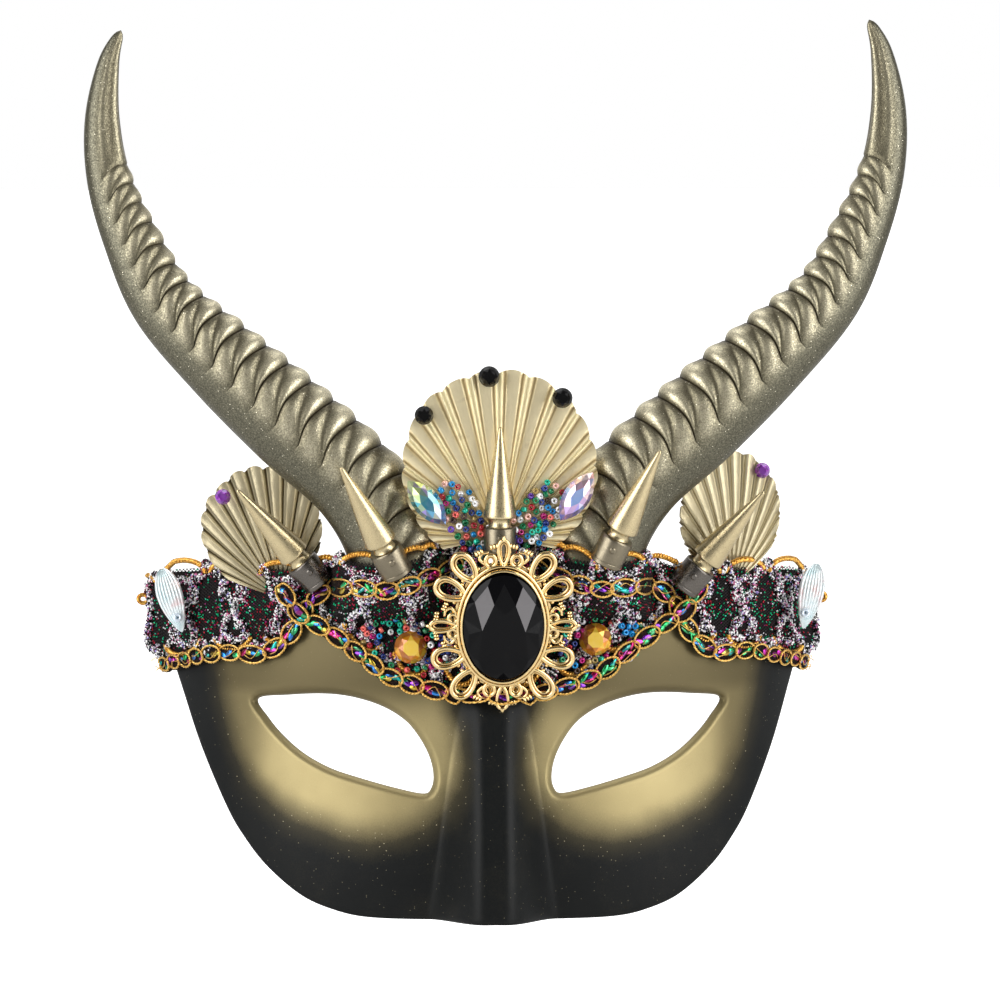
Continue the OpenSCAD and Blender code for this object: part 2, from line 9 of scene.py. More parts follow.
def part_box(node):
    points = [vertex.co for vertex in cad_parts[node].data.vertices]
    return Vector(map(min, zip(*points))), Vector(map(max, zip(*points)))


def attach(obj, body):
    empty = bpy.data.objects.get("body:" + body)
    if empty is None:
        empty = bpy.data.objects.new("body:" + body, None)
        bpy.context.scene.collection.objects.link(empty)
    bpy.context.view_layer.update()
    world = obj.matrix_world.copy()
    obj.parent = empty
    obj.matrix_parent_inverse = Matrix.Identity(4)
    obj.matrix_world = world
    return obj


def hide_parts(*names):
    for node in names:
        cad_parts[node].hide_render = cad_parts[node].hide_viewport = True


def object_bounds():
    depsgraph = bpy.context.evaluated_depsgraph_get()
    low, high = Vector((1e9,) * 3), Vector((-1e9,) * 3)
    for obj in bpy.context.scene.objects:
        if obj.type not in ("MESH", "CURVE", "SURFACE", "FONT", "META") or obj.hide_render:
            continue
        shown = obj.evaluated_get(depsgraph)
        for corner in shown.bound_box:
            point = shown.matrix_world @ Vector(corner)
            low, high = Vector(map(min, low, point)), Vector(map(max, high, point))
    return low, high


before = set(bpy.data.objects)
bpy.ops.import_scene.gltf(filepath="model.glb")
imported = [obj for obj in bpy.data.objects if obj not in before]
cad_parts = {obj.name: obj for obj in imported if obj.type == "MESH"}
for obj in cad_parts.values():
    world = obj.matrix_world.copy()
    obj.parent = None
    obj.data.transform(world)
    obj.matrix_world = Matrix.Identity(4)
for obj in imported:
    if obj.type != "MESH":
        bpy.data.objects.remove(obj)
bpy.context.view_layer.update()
mm = 0.001
dice = np.random.default_rng(7)
print("frame loaded with", len(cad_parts), "nodes")


# small tools for shapes, all in millimetres
def lerp(a, b, t):
    return a + (b - a) * t


def smooth(t):
    t = np.clip(t, 0, 1)
    return t * t * (3 - 2 * t)


def bell(t, middle, width):
    return np.exp(-((t - middle) / width) ** 2)


def unit(v):
    v = np.asarray(v, float)
    return v / np.maximum(np.linalg.norm(v, axis=-1, keepdims=True), 1e-9)


def curveThrough(points, count, closed=False):
    p = np.asarray(points, float)
    n = len(p)
    spans = n if closed else n - 1
    t = np.linspace(0, spans, count, endpoint=not closed)
    i = np.minimum(t.astype(int), spans - 1)
    f = (t - i)[:, None]
    q = [p[(i + k) % n] if closed else p[np.clip(i + k, 0, n - 1)] for k in (-1, 0, 1, 2)]
    bend = 2 * q[0] - 5 * q[1] + 4 * q[2] - q[3]
    swing = 3 * q[1] - q[0] - 3 * q[2] + q[3]
    return 0.5 * (2 * q[1] + (q[2] - q[0]) * f + bend * f ** 2 + swing * f ** 3)


def lengthAlong(p):
    return np.concatenate([[0], np.cumsum(np.linalg.norm(np.diff(p, axis=0), axis=1))])


def evenly(points, step):
    p = curveThrough(points, len(points) * 24)
    s = lengthAlong(p)
    count = max(3, int(round(s[-1] / step)) + 1)
    at = np.linspace(0, s[-1], count)
    return np.stack([np.interp(at, s, p[:, k]) for k in range(p.shape[1])], 1)


def gridFaces(rows, cols, wrapRows=False, wrapCols=False):
    i = np.arange(rows if wrapRows else rows - 1)[:, None]
    j = np.arange(cols if wrapCols else cols - 1)[None, :]
    down = (i + 1) % rows
    right = (j + 1) % cols
    corners = [i * cols + j, i * cols + right, down * cols + right, down * cols + j]
    return np.stack([c + 0 * i + 0 * j for c in corners], -1).reshape(-1, 4)


# a part is [points, faces, tints, material index of each face]; a triangle's last corner is -1
def part(points, faces, tint=(1, 1, 1), finish=0):
    points = np.asarray(points, float).reshape(-1, 3)
    faces = np.asarray(faces, int)
    if faces.shape[1] == 3:
        faces = np.hstack([faces, np.full((len(faces), 1), -1)])
    tints = np.array(np.broadcast_to(np.asarray(tint, float), points.shape))
    return [points, faces, tints, np.full(len(faces), finish)]


def joined(parts):
    start = 0
    faces = []
    for p in parts:
        faces.append(np.where(p[1] < 0, -1, p[1] + start))
        start += len(p[0])
    return [np.vstack([p[0] for p in parts]), np.vstack(faces),
            np.vstack([p[2] for p in parts]), np.concatenate([p[3] for p in parts])]


def moved(p, turn=None, shift=(0, 0, 0), size=1.0):
    points = p[0] * size
    if turn is not None:
        points = points @ np.asarray(turn).T
    return [points + np.asarray(shift, float), p[1], p[2], p[3]]


def turned(axis, degrees):
    c, s = math.cos(math.radians(degrees)), math.sin(math.radians(degrees))
    if axis == "x":
        return np.array([[1, 0, 0], [0, c, -s], [0, s, c]])
    if axis == "y":
        return np.array([[c, 0, s], [0, 1, 0], [-s, 0, c]])
    return np.array([[c, -s, 0], [s, c, 0], [0, 0, 1]])


def frames(path, closed=False):
    # direction, side and upward vectors carried along a path without twisting
    p = np.asarray(path, float)
    d = unit(np.roll(p, -1, 0) - np.roll(p, 1, 0)) if closed else unit(np.gradient(p, axis=0))
    side = np.zeros_like(p)
    s = np.cross(d[0], [0.0, 0.0, 1.0] if abs(d[0][2]) < 0.9 else [1.0, 0.0, 0.0])
    for k in range(len(p)):
        s = s - d[k] * (s @ d[k])
        s = s / max(math.sqrt(s @ s), 1e-9)
        side[k] = s
    return d, side, np.cross(side, d)


def tube(path, radius, sides=8, closed=False, tint=(1, 1, 1), finish=0, thick=1.0):
    p = np.asarray(path, float)
    side, top = frames(p, closed)[1:]
    a = np.arange(sides) / sides * 2 * math.pi
    r = np.broadcast_to(np.asarray(radius, float), (len(p),))[:, None, None]
    wide = np.cos(a)[None, :, None] * side[:, None, :]
    high = thick * np.sin(a)[None, :, None] * top[:, None, :]
    points = (p[:, None, :] + r * (wide + high)).reshape(-1, 3)
    faces = gridFaces(len(p), sides, closed, True)
    tint = np.asarray(tint, float)
    if tint.ndim == 2:
        tint = np.repeat(tint, sides, axis=0)
    if closed:
        return part(points, faces, tint, finish)
    ends = []
    for k, ring in ((0, 0), (len(p) - 1, (len(p) - 1) * sides)):
        centre = len(points)
        points = np.vstack([points, p[k:k + 1]])
        if tint.ndim == 2:
            tint = np.vstack([tint, tint[ring:ring + 1]])
        for j in range(sides):
            pair = [ring + (j + 1) % sides, ring + j] if k == 0 else [ring + j, ring + (j + 1) % sides]
            ends.append(pair + [centre, -1])
    return part(points, np.vstack([faces, ends]), tint, finish)


def lathe(profile, steps, tint=(1, 1, 1), finish=0):
    # profile is [radius, height], from the axis to the axis
    q = np.asarray(profile, float)
    a = np.arange(steps) / steps * 2 * math.pi
    points = np.stack([q[:, None, 0] * np.cos(a), q[:, None, 0] * np.sin(a), q[:, None, 1] + 0 * a], -1)
    return part(points, gridFaces(len(q), steps, False, True), tint, finish)


def ball(r, steps=10, tint=(1, 1, 1), finish=0):
    t = np.linspace(-math.pi / 2, math.pi / 2, steps // 2 + 1)
    return lathe(np.stack([r * np.cos(t), r * np.sin(t)], 1), steps, tint, finish)


def scattered(base, places, turns, sizes, tints):
    # the base part once at each place, with its own turn, size and tint
    count = len(places)
    sizes = np.asarray(sizes, float).reshape(count, -1)
    points = np.einsum("nij,nkj->nki", turns, base[0][None] * sizes[:, None, :])
    points = (points + np.asarray(places)[:, None, :]).reshape(-1, 3)
    steps = (np.arange(count) * len(base[0]))[:, None, None]
    faces = np.where(base[1][None] < 0, -1, base[1][None] + steps).reshape(-1, 4)
    tint = np.repeat(np.asarray(tints, float), len(base[0]), axis=0)
    return [points, faces, tint, np.tile(base[3], count)]


def looseTurns(count):
    q = unit(dice.normal(size=(count, 4)))
    w, x, y, z = q.T
    rows = [[1 - 2 * (y * y + z * z), 2 * (x * y - z * w), 2 * (x * z + y * w)],
            [2 * (x * y + z * w), 1 - 2 * (x * x + z * z), 2 * (y * z - x * w)],
            [2 * (x * z - y * w), 2 * (y * z + x * w), 1 - 2 * (x * x + y * y)]]
    return np.stack([np.stack(r, -1) for r in rows], 1)


def facing(normals):
    # turns that take +Z to each normal
    z = unit(normals)
    x = unit(np.cross(np.broadcast_to([0.0, 0.0, 1.0], z.shape) + 1e-4, z))
    return np.stack([x, np.cross(z, x), z], -1)


def nodeBox(name):
    low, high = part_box(name)
    return np.array(low) / mm, np.array(high) / mm


def fitted(points, name):
    # the points, brought to exactly the CAD node's own box
    low, high = nodeBox(name)
    p0, p1 = points.min(0), points.max(0)
    return (points - (p0 + p1) / 2) * ((high - low) / (p1 - p0)) + (low + high) / 2


def centred(points, name):
    low, high = nodeBox(name)
    return points - (points.min(0) + points.max(0)) / 2 + (low + high) / 2


def addPiece(name, shape, finishes, nodes=(), sharp=None, extra=None, weld=0):
    points, faces, tints, finish = shape
    mesh = bpy.data.meshes.new(name)
    mesh.vertices.add(len(points))
    mesh.vertices.foreach_set("co", (points * mm).ravel().astype(np.float32))
    corners = faces.ravel()
    sizes = np.where(faces[:, 3] < 0, 3, 4)
    mesh.loops.add(int(sizes.sum()))
    mesh.loops.foreach_set("vertex_index", corners[corners >= 0].astype(np.int32))
    mesh.polygons.add(len(faces))
    mesh.polygons.foreach_set("loop_start", np.concatenate([[0], np.cumsum(sizes)[:-1]]).astype(np.int32))
    mesh.polygons.foreach_set("material_index", finish.astype(np.int32))
    mesh.update(calc_edges=True)
    colour = mesh.attributes.new("tint", "FLOAT_COLOR", "POINT")
    colour.data.foreach_set("color", np.hstack([tints, np.ones((len(tints), 1))]).ravel().astype(np.float32))
    for key, values in (extra or {}).items():
        mesh.attributes.new(key, "FLOAT", "POINT").data.foreach_set("value", np.asarray(values, np.float32))
    mesh.validate()
    if weld:
        work = bmesh.new()
        work.from_mesh(mesh)
        bmesh.ops.remove_doubles(work, verts=work.verts, dist=weld * mm)
        bmesh.ops.recalc_face_normals(work, faces=work.faces)
        work.to_mesh(mesh)
        work.free()
    for finishMade in finishes:
        mesh.materials.append(finishMade)
    if sharp == 0:
        mesh.shade_flat()
    else:
        mesh.shade_smooth()
        if sharp:
            mesh.set_sharp_from_angle(angle=math.radians(sharp))
    piece = bpy.data.objects.new(name, mesh)
    bpy.context.scene.collection.objects.link(piece)
    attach(piece, "root")
    if nodes:
        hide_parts(*nodes)
    return piece


# small tools for finishes
def addNode(tree, kind, inputs=None, **settings):
    made = tree.nodes.new("ShaderNode" + kind)
    for key, value in settings.items():
        setattr(made, key, value)
    for key, value in (inputs or {}).items():
        if isinstance(value, bpy.types.NodeSocket):
            tree.links.new(value, made.inputs[key])
        else:
            made.inputs[key].default_value = value
    return made


def newFinish(name, colour, roughness, metallic=0.0, **more):
    made = bpy.data.materials.new(name)
    made.use_nodes = True
    shader = made.node_tree.nodes["Principled BSDF"]
    shader.inputs["Base Color"].default_value = (*colour, 1)
    shader.inputs["Roughness"].default_value = roughness
    shader.inputs["Metallic"].default_value = metallic
    for key, value in more.items():
        shader.inputs[key.replace("_", " ")].default_value = value
    made.diffuse_color = (*colour, 1)
    return made, made.node_tree, shader


def place(tree):
    return addNode(tree, "TexCoord").outputs["Object"]


def noise(tree, scale, detail=2.0, rough=0.5):
    inputs = {"Vector": place(tree), "Scale": scale, "Detail": detail, "Roughness": rough}
    return addNode(tree, "TexNoise", inputs).outputs["Fac"]


def ramp(tree, fac, stops):
    made = addNode(tree, "ValToRGB", {"Fac": fac})
    while len(made.color_ramp.elements) < len(stops):
        made.color_ramp.elements.new(0.5)
    for element, (at, colour) in zip(made.color_ramp.elements, stops):
        element.position = at
        element.color = (*colour, 1) if len(colour) == 3 else colour
    return made.outputs["Color"]


def grey(v):
    return (v, v, v)


def mixed(tree, fac, a, b, way="MIX"):
    made = addNode(tree, "Mix", data_type="RGBA", blend_type=way)
    for index, value in ((0, fac), (6, a), (7, b)):
        if isinstance(value, bpy.types.NodeSocket):
            tree.links.new(value, made.inputs[index])
        else:
            made.inputs[index].default_value = value if index == 0 else (*value, 1)
    return made.outputs[2]


def maths(tree, way, a, b=0.0, clamp=False):
    return addNode(tree, "Math", {0: a, 1: b}, operation=way, use_clamp=clamp).outputs[0]


def attribute(tree, name, out="Fac"):
    return addNode(tree, "Attribute", attribute_name=name).outputs[out]


def bumped(tree, shader, height, depth, strength=1.0):
    # depth is in millimetres
    made = addNode(tree, "Bump", {"Height": height, "Strength": strength, "Distance": depth * mm})
    tree.links.new(made.outputs["Normal"], shader.inputs["Normal"])


def specks(tree, size, share, reach=0.3):
    # 1 on small round grains, size millimetres apart, of which only a share show
    cell = addNode(tree, "TexVoronoi", {"Vector": place(tree), "Scale": 1 / (size * mm)})
    roll = addNode(tree, "SeparateColor", {"Color": cell.outputs["Color"]}).outputs[0]
    chosen = maths(tree, "GREATER_THAN", roll, 1 - share)
    small = maths(tree, "LESS_THAN", cell.outputs["Distance"], reach)
    return maths(tree, "MULTIPLY", chosen, small)


# the moulded shell that everything is glued to
shellSizes = {"wall": 1.5, "wrapHalf": 95, "wrapDepth": 88, "noseOut": 16, "rimRoll": 2, "rimBand": 2.2,
              "strapX": 85.5, "strapZ": 21, "strapRadius": 1.5, "strapRing": 3.1}
shellOutline = [
    [0, -61], [18, -61.2], [34, -61], [43, -59.4], [52, -55.8], [61.3, -48.3], [67.6, -40.5],
    [72.3, -32.5], [79.1, -16.5], [84.3, -0.6], [88, 11], [90.6, 21], [90.8, 27.5], [86, 31.5],
    [70, 32.5], [50, 31.5], [25, 30.5], [0, 30.5]]
eyeOutline = [
    [63.8, -1.8], [55.4, -0.2], [45.7, 0.6], [37.7, -0.1], [29.8, -2.5], [23.6, -6.4], [19.6, -11.5],
    [17.1, -16.7], [16.2, -21.6], [16.9, -25], [19, -26.4], [26.7, -25], [36.3, -22.6], [44.2, -20.2],
    [51.4, -16.4], [57, -11.7], [61, -7]]
# where the gold spray is half faded into the black, on the right-hand side
goldOutline = [
    [13, 40], [12.8, 12], [12.6, 4], [12, -3], [9.6, -10], [8.8, -18], [10, -24], [14, -30], [20, -35],
    [27, -38], [34, -39.2], [42, -38.2], [52, -34.8], [60, -30.5], [66.5, -25], [71, -16], [74.2, -2],
    [77, 12], [79, 24], [70, 40]]
eyeMiddle = np.array([40.0, -12.0])


def insideY(x, z):
    x, z = np.broadcast_arrays(np.asarray(x, float), np.asarray(z, float))
    s = shellSizes
    down = np.clip((3 - z) / 64, 0, 1)
    width = lerp(9, 18, down)
    nose = s["noseOut"] * down ** 0.8 * smooth((width - abs(x)) / (width - 2.6))
    socket = 2.5 * np.exp(-((abs(x) - 40) / 24) ** 2 - ((z + 12) / 16) ** 2)
    wrap = s["wrapDepth"] * (1 - np.sqrt(1 - (np.minimum(abs(x), s["wrapHalf"] - 1) / s["wrapHalf"]) ** 2))
    tips = 2 * (np.maximum(z, 0) / 31) ** 2 + 2 * (np.maximum(-z - 35, 0) / 26) ** 2
    return wrap - nose + socket + tips


def outward(x, z):
    h = 0.4
    across = (insideY(x + h, z) - insideY(x - h, z)) / (2 * h)
    upwards = (insideY(x, z + h) - insideY(x, z - h)) / (2 * h)
    return unit(np.stack([across, -np.ones_like(across), upwards], -1))


def onShell(x, z, off):
    x, z = np.broadcast_arrays(np.asarray(x, float), np.asarray(z, float))
    return np.stack([x, insideY(x, z), z], -1) + np.asarray(off)[..., None] * outward(x, z)


def distanceTo(points, outline, closed=True):
    a = np.asarray(outline, float)
    b = np.roll(a, -1, 0) if closed else a[1:]
    a = a if closed else a[:-1]
    best = np.full(len(points), 1e9)
    for p, q in zip(a, b):
        t = np.clip(((points - p) @ (q - p)) / max((q - p) @ (q - p), 1e-9), 0, 1)
        best = np.minimum(best, np.linalg.norm(points - p - t[:, None] * (q - p), axis=1))
    return best


def insideOf(points, outline):
    a = np.asarray(outline, float)
    hits = np.zeros(len(points), bool)
    for p, q in zip(a, np.roll(a, -1, 0)):
        if p[1] == q[1]:
            continue
        crosses = (p[1] > points[:, 1]) != (q[1] > points[:, 1])
        at = (q[0] - p[0]) * (points[:, 1] - p[1]) / (q[1] - p[1]) + p[0]
        hits ^= crosses & (points[:, 0] < at)
    return hits


def shellShape():
    s = shellSizes
    eye = curveThrough(eyeOutline, 204, True)
    edge = curveThrough(shellOutline, 17 * 14 + 1)
    middle = np.stack([np.zeros(70), np.linspace(30.5, -61, 71)[:-1]], 1)
    rim = np.vstack([middle, edge[:-1]])
    d = rim - eyeMiddle
    a, e = eye, np.roll(eye, -1, 0) - eye
    c = d[:, None, 0] * e[None, :, 1] - d[:, None, 1] * e[None, :, 0]
    w = a - eyeMiddle
    t = (w[:, 0] * e[:, 1] - w[:, 1] * e[:, 0])[None] / c
    share = (w[None, :, 0] * d[:, None, 1] - w[None, :, 1] * d[:, None, 0]) / c
    hit = np.argmax((t > 0) & (share >= 0) & (share < 1), axis=1)
    near = eyeMiddle + d * t[np.arange(len(rim)), hit][:, None]
    span = np.linalg.norm(rim - near, axis=1)[:, None]
    band = np.array([0, 0.08, 0.25, 0.5, 0.75, 1.1, 1.5, 1.9, 2.2])
    last = np.array([0.75, 0.5, 0.25, 0.08, 0])
    between = np.linspace(0, 1, 44)[1:-1]
    reach = np.hstack([np.broadcast_to(band, (len(rim), len(band))),
                       2.2 + (span - 0.75 - 2.2) * between[None], span - last[None]])
    flat = near[:, None, :] + ((rim - near) / span)[:, None, :] * reach[..., None]
    q = flat.reshape(-1, 2)
    toEye = distanceTo(q, eye)
    toEdge = distanceTo(q, edge, False)
    roll = s["rimRoll"] * np.clip(1 - toEye / s["rimBand"], 0, 1) ** 2
    close = np.clip(np.minimum(toEye, toEdge) / 0.75, 0, 1)
    half = s["wall"] / 2 * np.sqrt(1 - (1 - close) ** 2)
    rows, cols = flat.shape[:2]
    parts = []
    for side in (1, -1):
        x, z = side * q[:, 0], q[:, 1]
        normal = outward(x, z)
        back = np.stack([x, insideY(x, z) + roll, z], -1)
        for front in (1, 0):
            off = s["wall"] / 2 + (half if front else -half)
            faces = gridFaces(rows, cols, True)
            parts.append(part(back + off[:, None] * normal, faces if (side > 0) != front else faces[:, ::-1],
                              (1, 1, 1), 0 if front else 1))
    return joined(parts)


def goldSpray(points):
    q = np.stack([abs(points[:, 0]), points[:, 2]], 1)
    inside = insideOf(q, goldOutline)
    d = distanceTo(q, goldOutline) * np.where(inside, 1, -1)
    soft = lerp(5.5, 8.5, np.clip((-q[:, 1] - 18) / 14, 0, 1))
    return smooth(0.5 + d / (2 * soft))


def shellPaint():
    made, tree, shader = newFinish("airbrushedPaint", (0.3, 0.24, 0.12), 0.38, 0.35, Specular_IOR_Level=0.15)
    gold = attribute(tree, "gold")
    cloud = noise(tree, 90, 4, 0.55)
    grain = noise(tree, 2600, 3, 0.7)
    sprayed = maths(tree, "ADD", gold, maths(tree, "MULTIPLY", maths(tree, "SUBTRACT", grain, 0.5), 0.25))
    drift = maths(tree, "MULTIPLY", maths(tree, "SUBTRACT", cloud, 0.5), 0.16)
    sprayed = maths(tree, "ADD", sprayed, drift, True)
    black = mixed(tree, cloud, (0.0045, 0.0052, 0.0052), (0.0065, 0.0075, 0.0078))
    warm = mixed(tree, noise(tree, 45, 2), (0.27, 0.215, 0.1), (0.4, 0.33, 0.165))
    # painted shade: the gold turns darker over the brows and at the outer corners
    warm = mixed(tree, attribute(tree, "paintedShade"), warm, (0.13, 0.105, 0.052))
    colour = ramp(tree, sprayed, [(0.0, grey(0)), (0.35, grey(0.11)), (0.7, grey(0.55)), (1.0, grey(1))])
    base = mixed(tree, colour, black, warm)
    fading = ramp(tree, sprayed, [(0.02, grey(0.25)), (0.3, grey(1)), (0.8, grey(0.4)), (1.0, grey(0.1))])
    dust = maths(tree, "MULTIPLY", specks(tree, 0.6, 0.05, 0.24), fading)
    base = mixed(tree, maths(tree, "MULTIPLY", dust, 0.55), base, (0.8, 0.7, 0.45))
    tree.links.new(base, shader.inputs["Base Color"])
    shine = ramp(tree, grain, [(0.3, grey(0.36)), (0.7, grey(0.5))])
    tree.links.new(shine, shader.inputs["Roughness"])
    metal = maths(tree, "MULTIPLY", colour, 0.6)
    tree.links.new(metal, shader.inputs["Metallic"])
    bumped(tree, shader, maths(tree, "ADD", grain, maths(tree, "MULTIPLY", cloud, 2)), 0.03, 0.5)
    return made


def shellInside():
    made, tree, shader = newFinish("bareMoulding", (0.035, 0.032, 0.03), 0.55)
    cloud = noise(tree, 60, 4)
    fine = noise(tree, 1500, 2)
    base = mixed(tree, cloud, (0.02, 0.019, 0.018), (0.055, 0.05, 0.044))
    tree.links.new(base, shader.inputs["Base Color"])
    bumped(tree, shader, maths(tree, "ADD", fine, maths(tree, "MULTIPLY", cloud, 3)), 0.06, 0.6)
    return made


def cutStrapHoles(shell):
    # a raised ring on the inside and a drilled hole through it, at each end
    s = shellSizes
    for way, radius, off, length in (("UNION", s["strapRing"], s["wall"] - 2.9, 2.6),
                                     ("DIFFERENCE", s["strapRadius"], -6, 12)):
        for side in (-1, 1):
            p = onShell(side * s["strapX"], s["strapZ"], 0)
            n = outward(side * s["strapX"], s["strapZ"])
            shift = p + n * off
            r = [[0, 0], [radius, 0], [radius, length], [0, length]]
            rod = moved(lathe(r, 40), facing(n[None])[0], shift)
            cutter = addPiece("strapTool", rod, shell.data.materials, weld=0.001)
            made = shell.modifiers.new("strap", "BOOLEAN")
            made.operation = way
            made.object = cutter
            made.solver = "EXACT"
            carved = shell.evaluated_get(bpy.context.evaluated_depsgraph_get())
            done = bpy.data.meshes.new_from_object(carved)
            shell.modifiers.clear()
            shell.data = done
            bpy.data.objects.remove(cutter)


shellShapeMade = shellShape()
shell = addPiece("mask_shell_painted", shellShapeMade, [shellPaint(), shellInside()],
                 ["mask_shell"], weld=0.004)
cutStrapHoles(shell)
shell.data.shade_smooth()
shell.data.set_sharp_from_angle(angle=math.radians(50))
shellPoints = np.zeros(len(shell.data.vertices) * 3, np.float32)
shell.data.vertices.foreach_get("co", shellPoints)
goldValues = goldSpray(shellPoints.reshape(-1, 3) / mm)
shell.data.attributes.new("gold", "FLOAT", "POINT").data.foreach_set("value", goldValues.astype(np.float32))
# painted shade: the gold is painted darker over the brows and at the outer corners
away = abs(shellPoints.reshape(-1, 3)) / mm
paintedShade = smooth((shellPoints[2::3] / mm + 9) / 13) * lerp(0.3, 1, smooth((away[:, 0] - 14) / 12))
paintedShade = np.maximum(paintedShade, 0.7 * smooth((away[:, 0] - 60) / 8))
shell.data.attributes.new("paintedShade", "FLOAT", "POINT").data.foreach_set("value", paintedShade.astype(np.float32))
print("shell made with", len(shell.data.polygons), "faces")


# horns: ridged front halves, plainer backs
hornSizes = {"ridges": 18, "ridgesFrom": 0.062, "ridgesTo": 0.72, "height": 0.88, "wall": 1.4, "shift": 0.7,
             "front": 0.72, "back": 0.5, "leftLength": 0.992, "rightLength": 1.01}
hornFoot = np.array([26.5, 3, 31.5])
hornLine = [
    [26.5, 3, 31.5, 14.6], [29, 2.5, 45, 13.8], [39.4, 3, 60.3, 12.9], [56.8, 4, 76.1, 13],
    [75, 5.5, 92.7, 11.6], [91.5, 7.5, 109.2, 9.4], [100.6, 9.5, 126.7, 7.8], [106.7, 11.5, 143.3, 6.2],
    [108.6, 13, 160, 4.9], [106.8, 14, 176, 3], [103.4, 14.5, 185, 1.1]]
ridgeRows = [0, 0.04, 0.08, 0.14, 0.21, 0.29, 0.37, 0.45, 0.53, 0.61, 0.69, 0.76, 0.82, 0.87, 0.91, 0.94,
             0.965, 0.985, 1]


def ridgeHeight(f, across):
    # down one ridge f runs from 0 to 1. A rounded bump at the inner edge narrows to a point where a slanting
    # groove meets the next crease, and a flatter lane lies on the groove's other side.
    g = np.clip(across / 0.56, 0, 1)
    edge = -0.62 * (1 - 0.5 * g)
    q = np.clip((f - g) / np.maximum(1 - g, 0.02), 0, 1)
    bump = lerp(edge, -0.95, q ** 3) + 1.62 * (1 - g) ** 0.6 * np.abs(np.sin(math.pi * q ** 1.5)) ** 0.8
    q = np.clip(f / np.maximum(g, 0.02), 0, 1)
    hump = np.abs(np.sin(math.pi * q ** 0.85)) ** 0.9
    lane = lerp(-0.95, edge, q ** 0.5) + 1.05 * np.clip(g * 1.5, 0, 1) * hump
    return np.where(f > g, bump, lane)


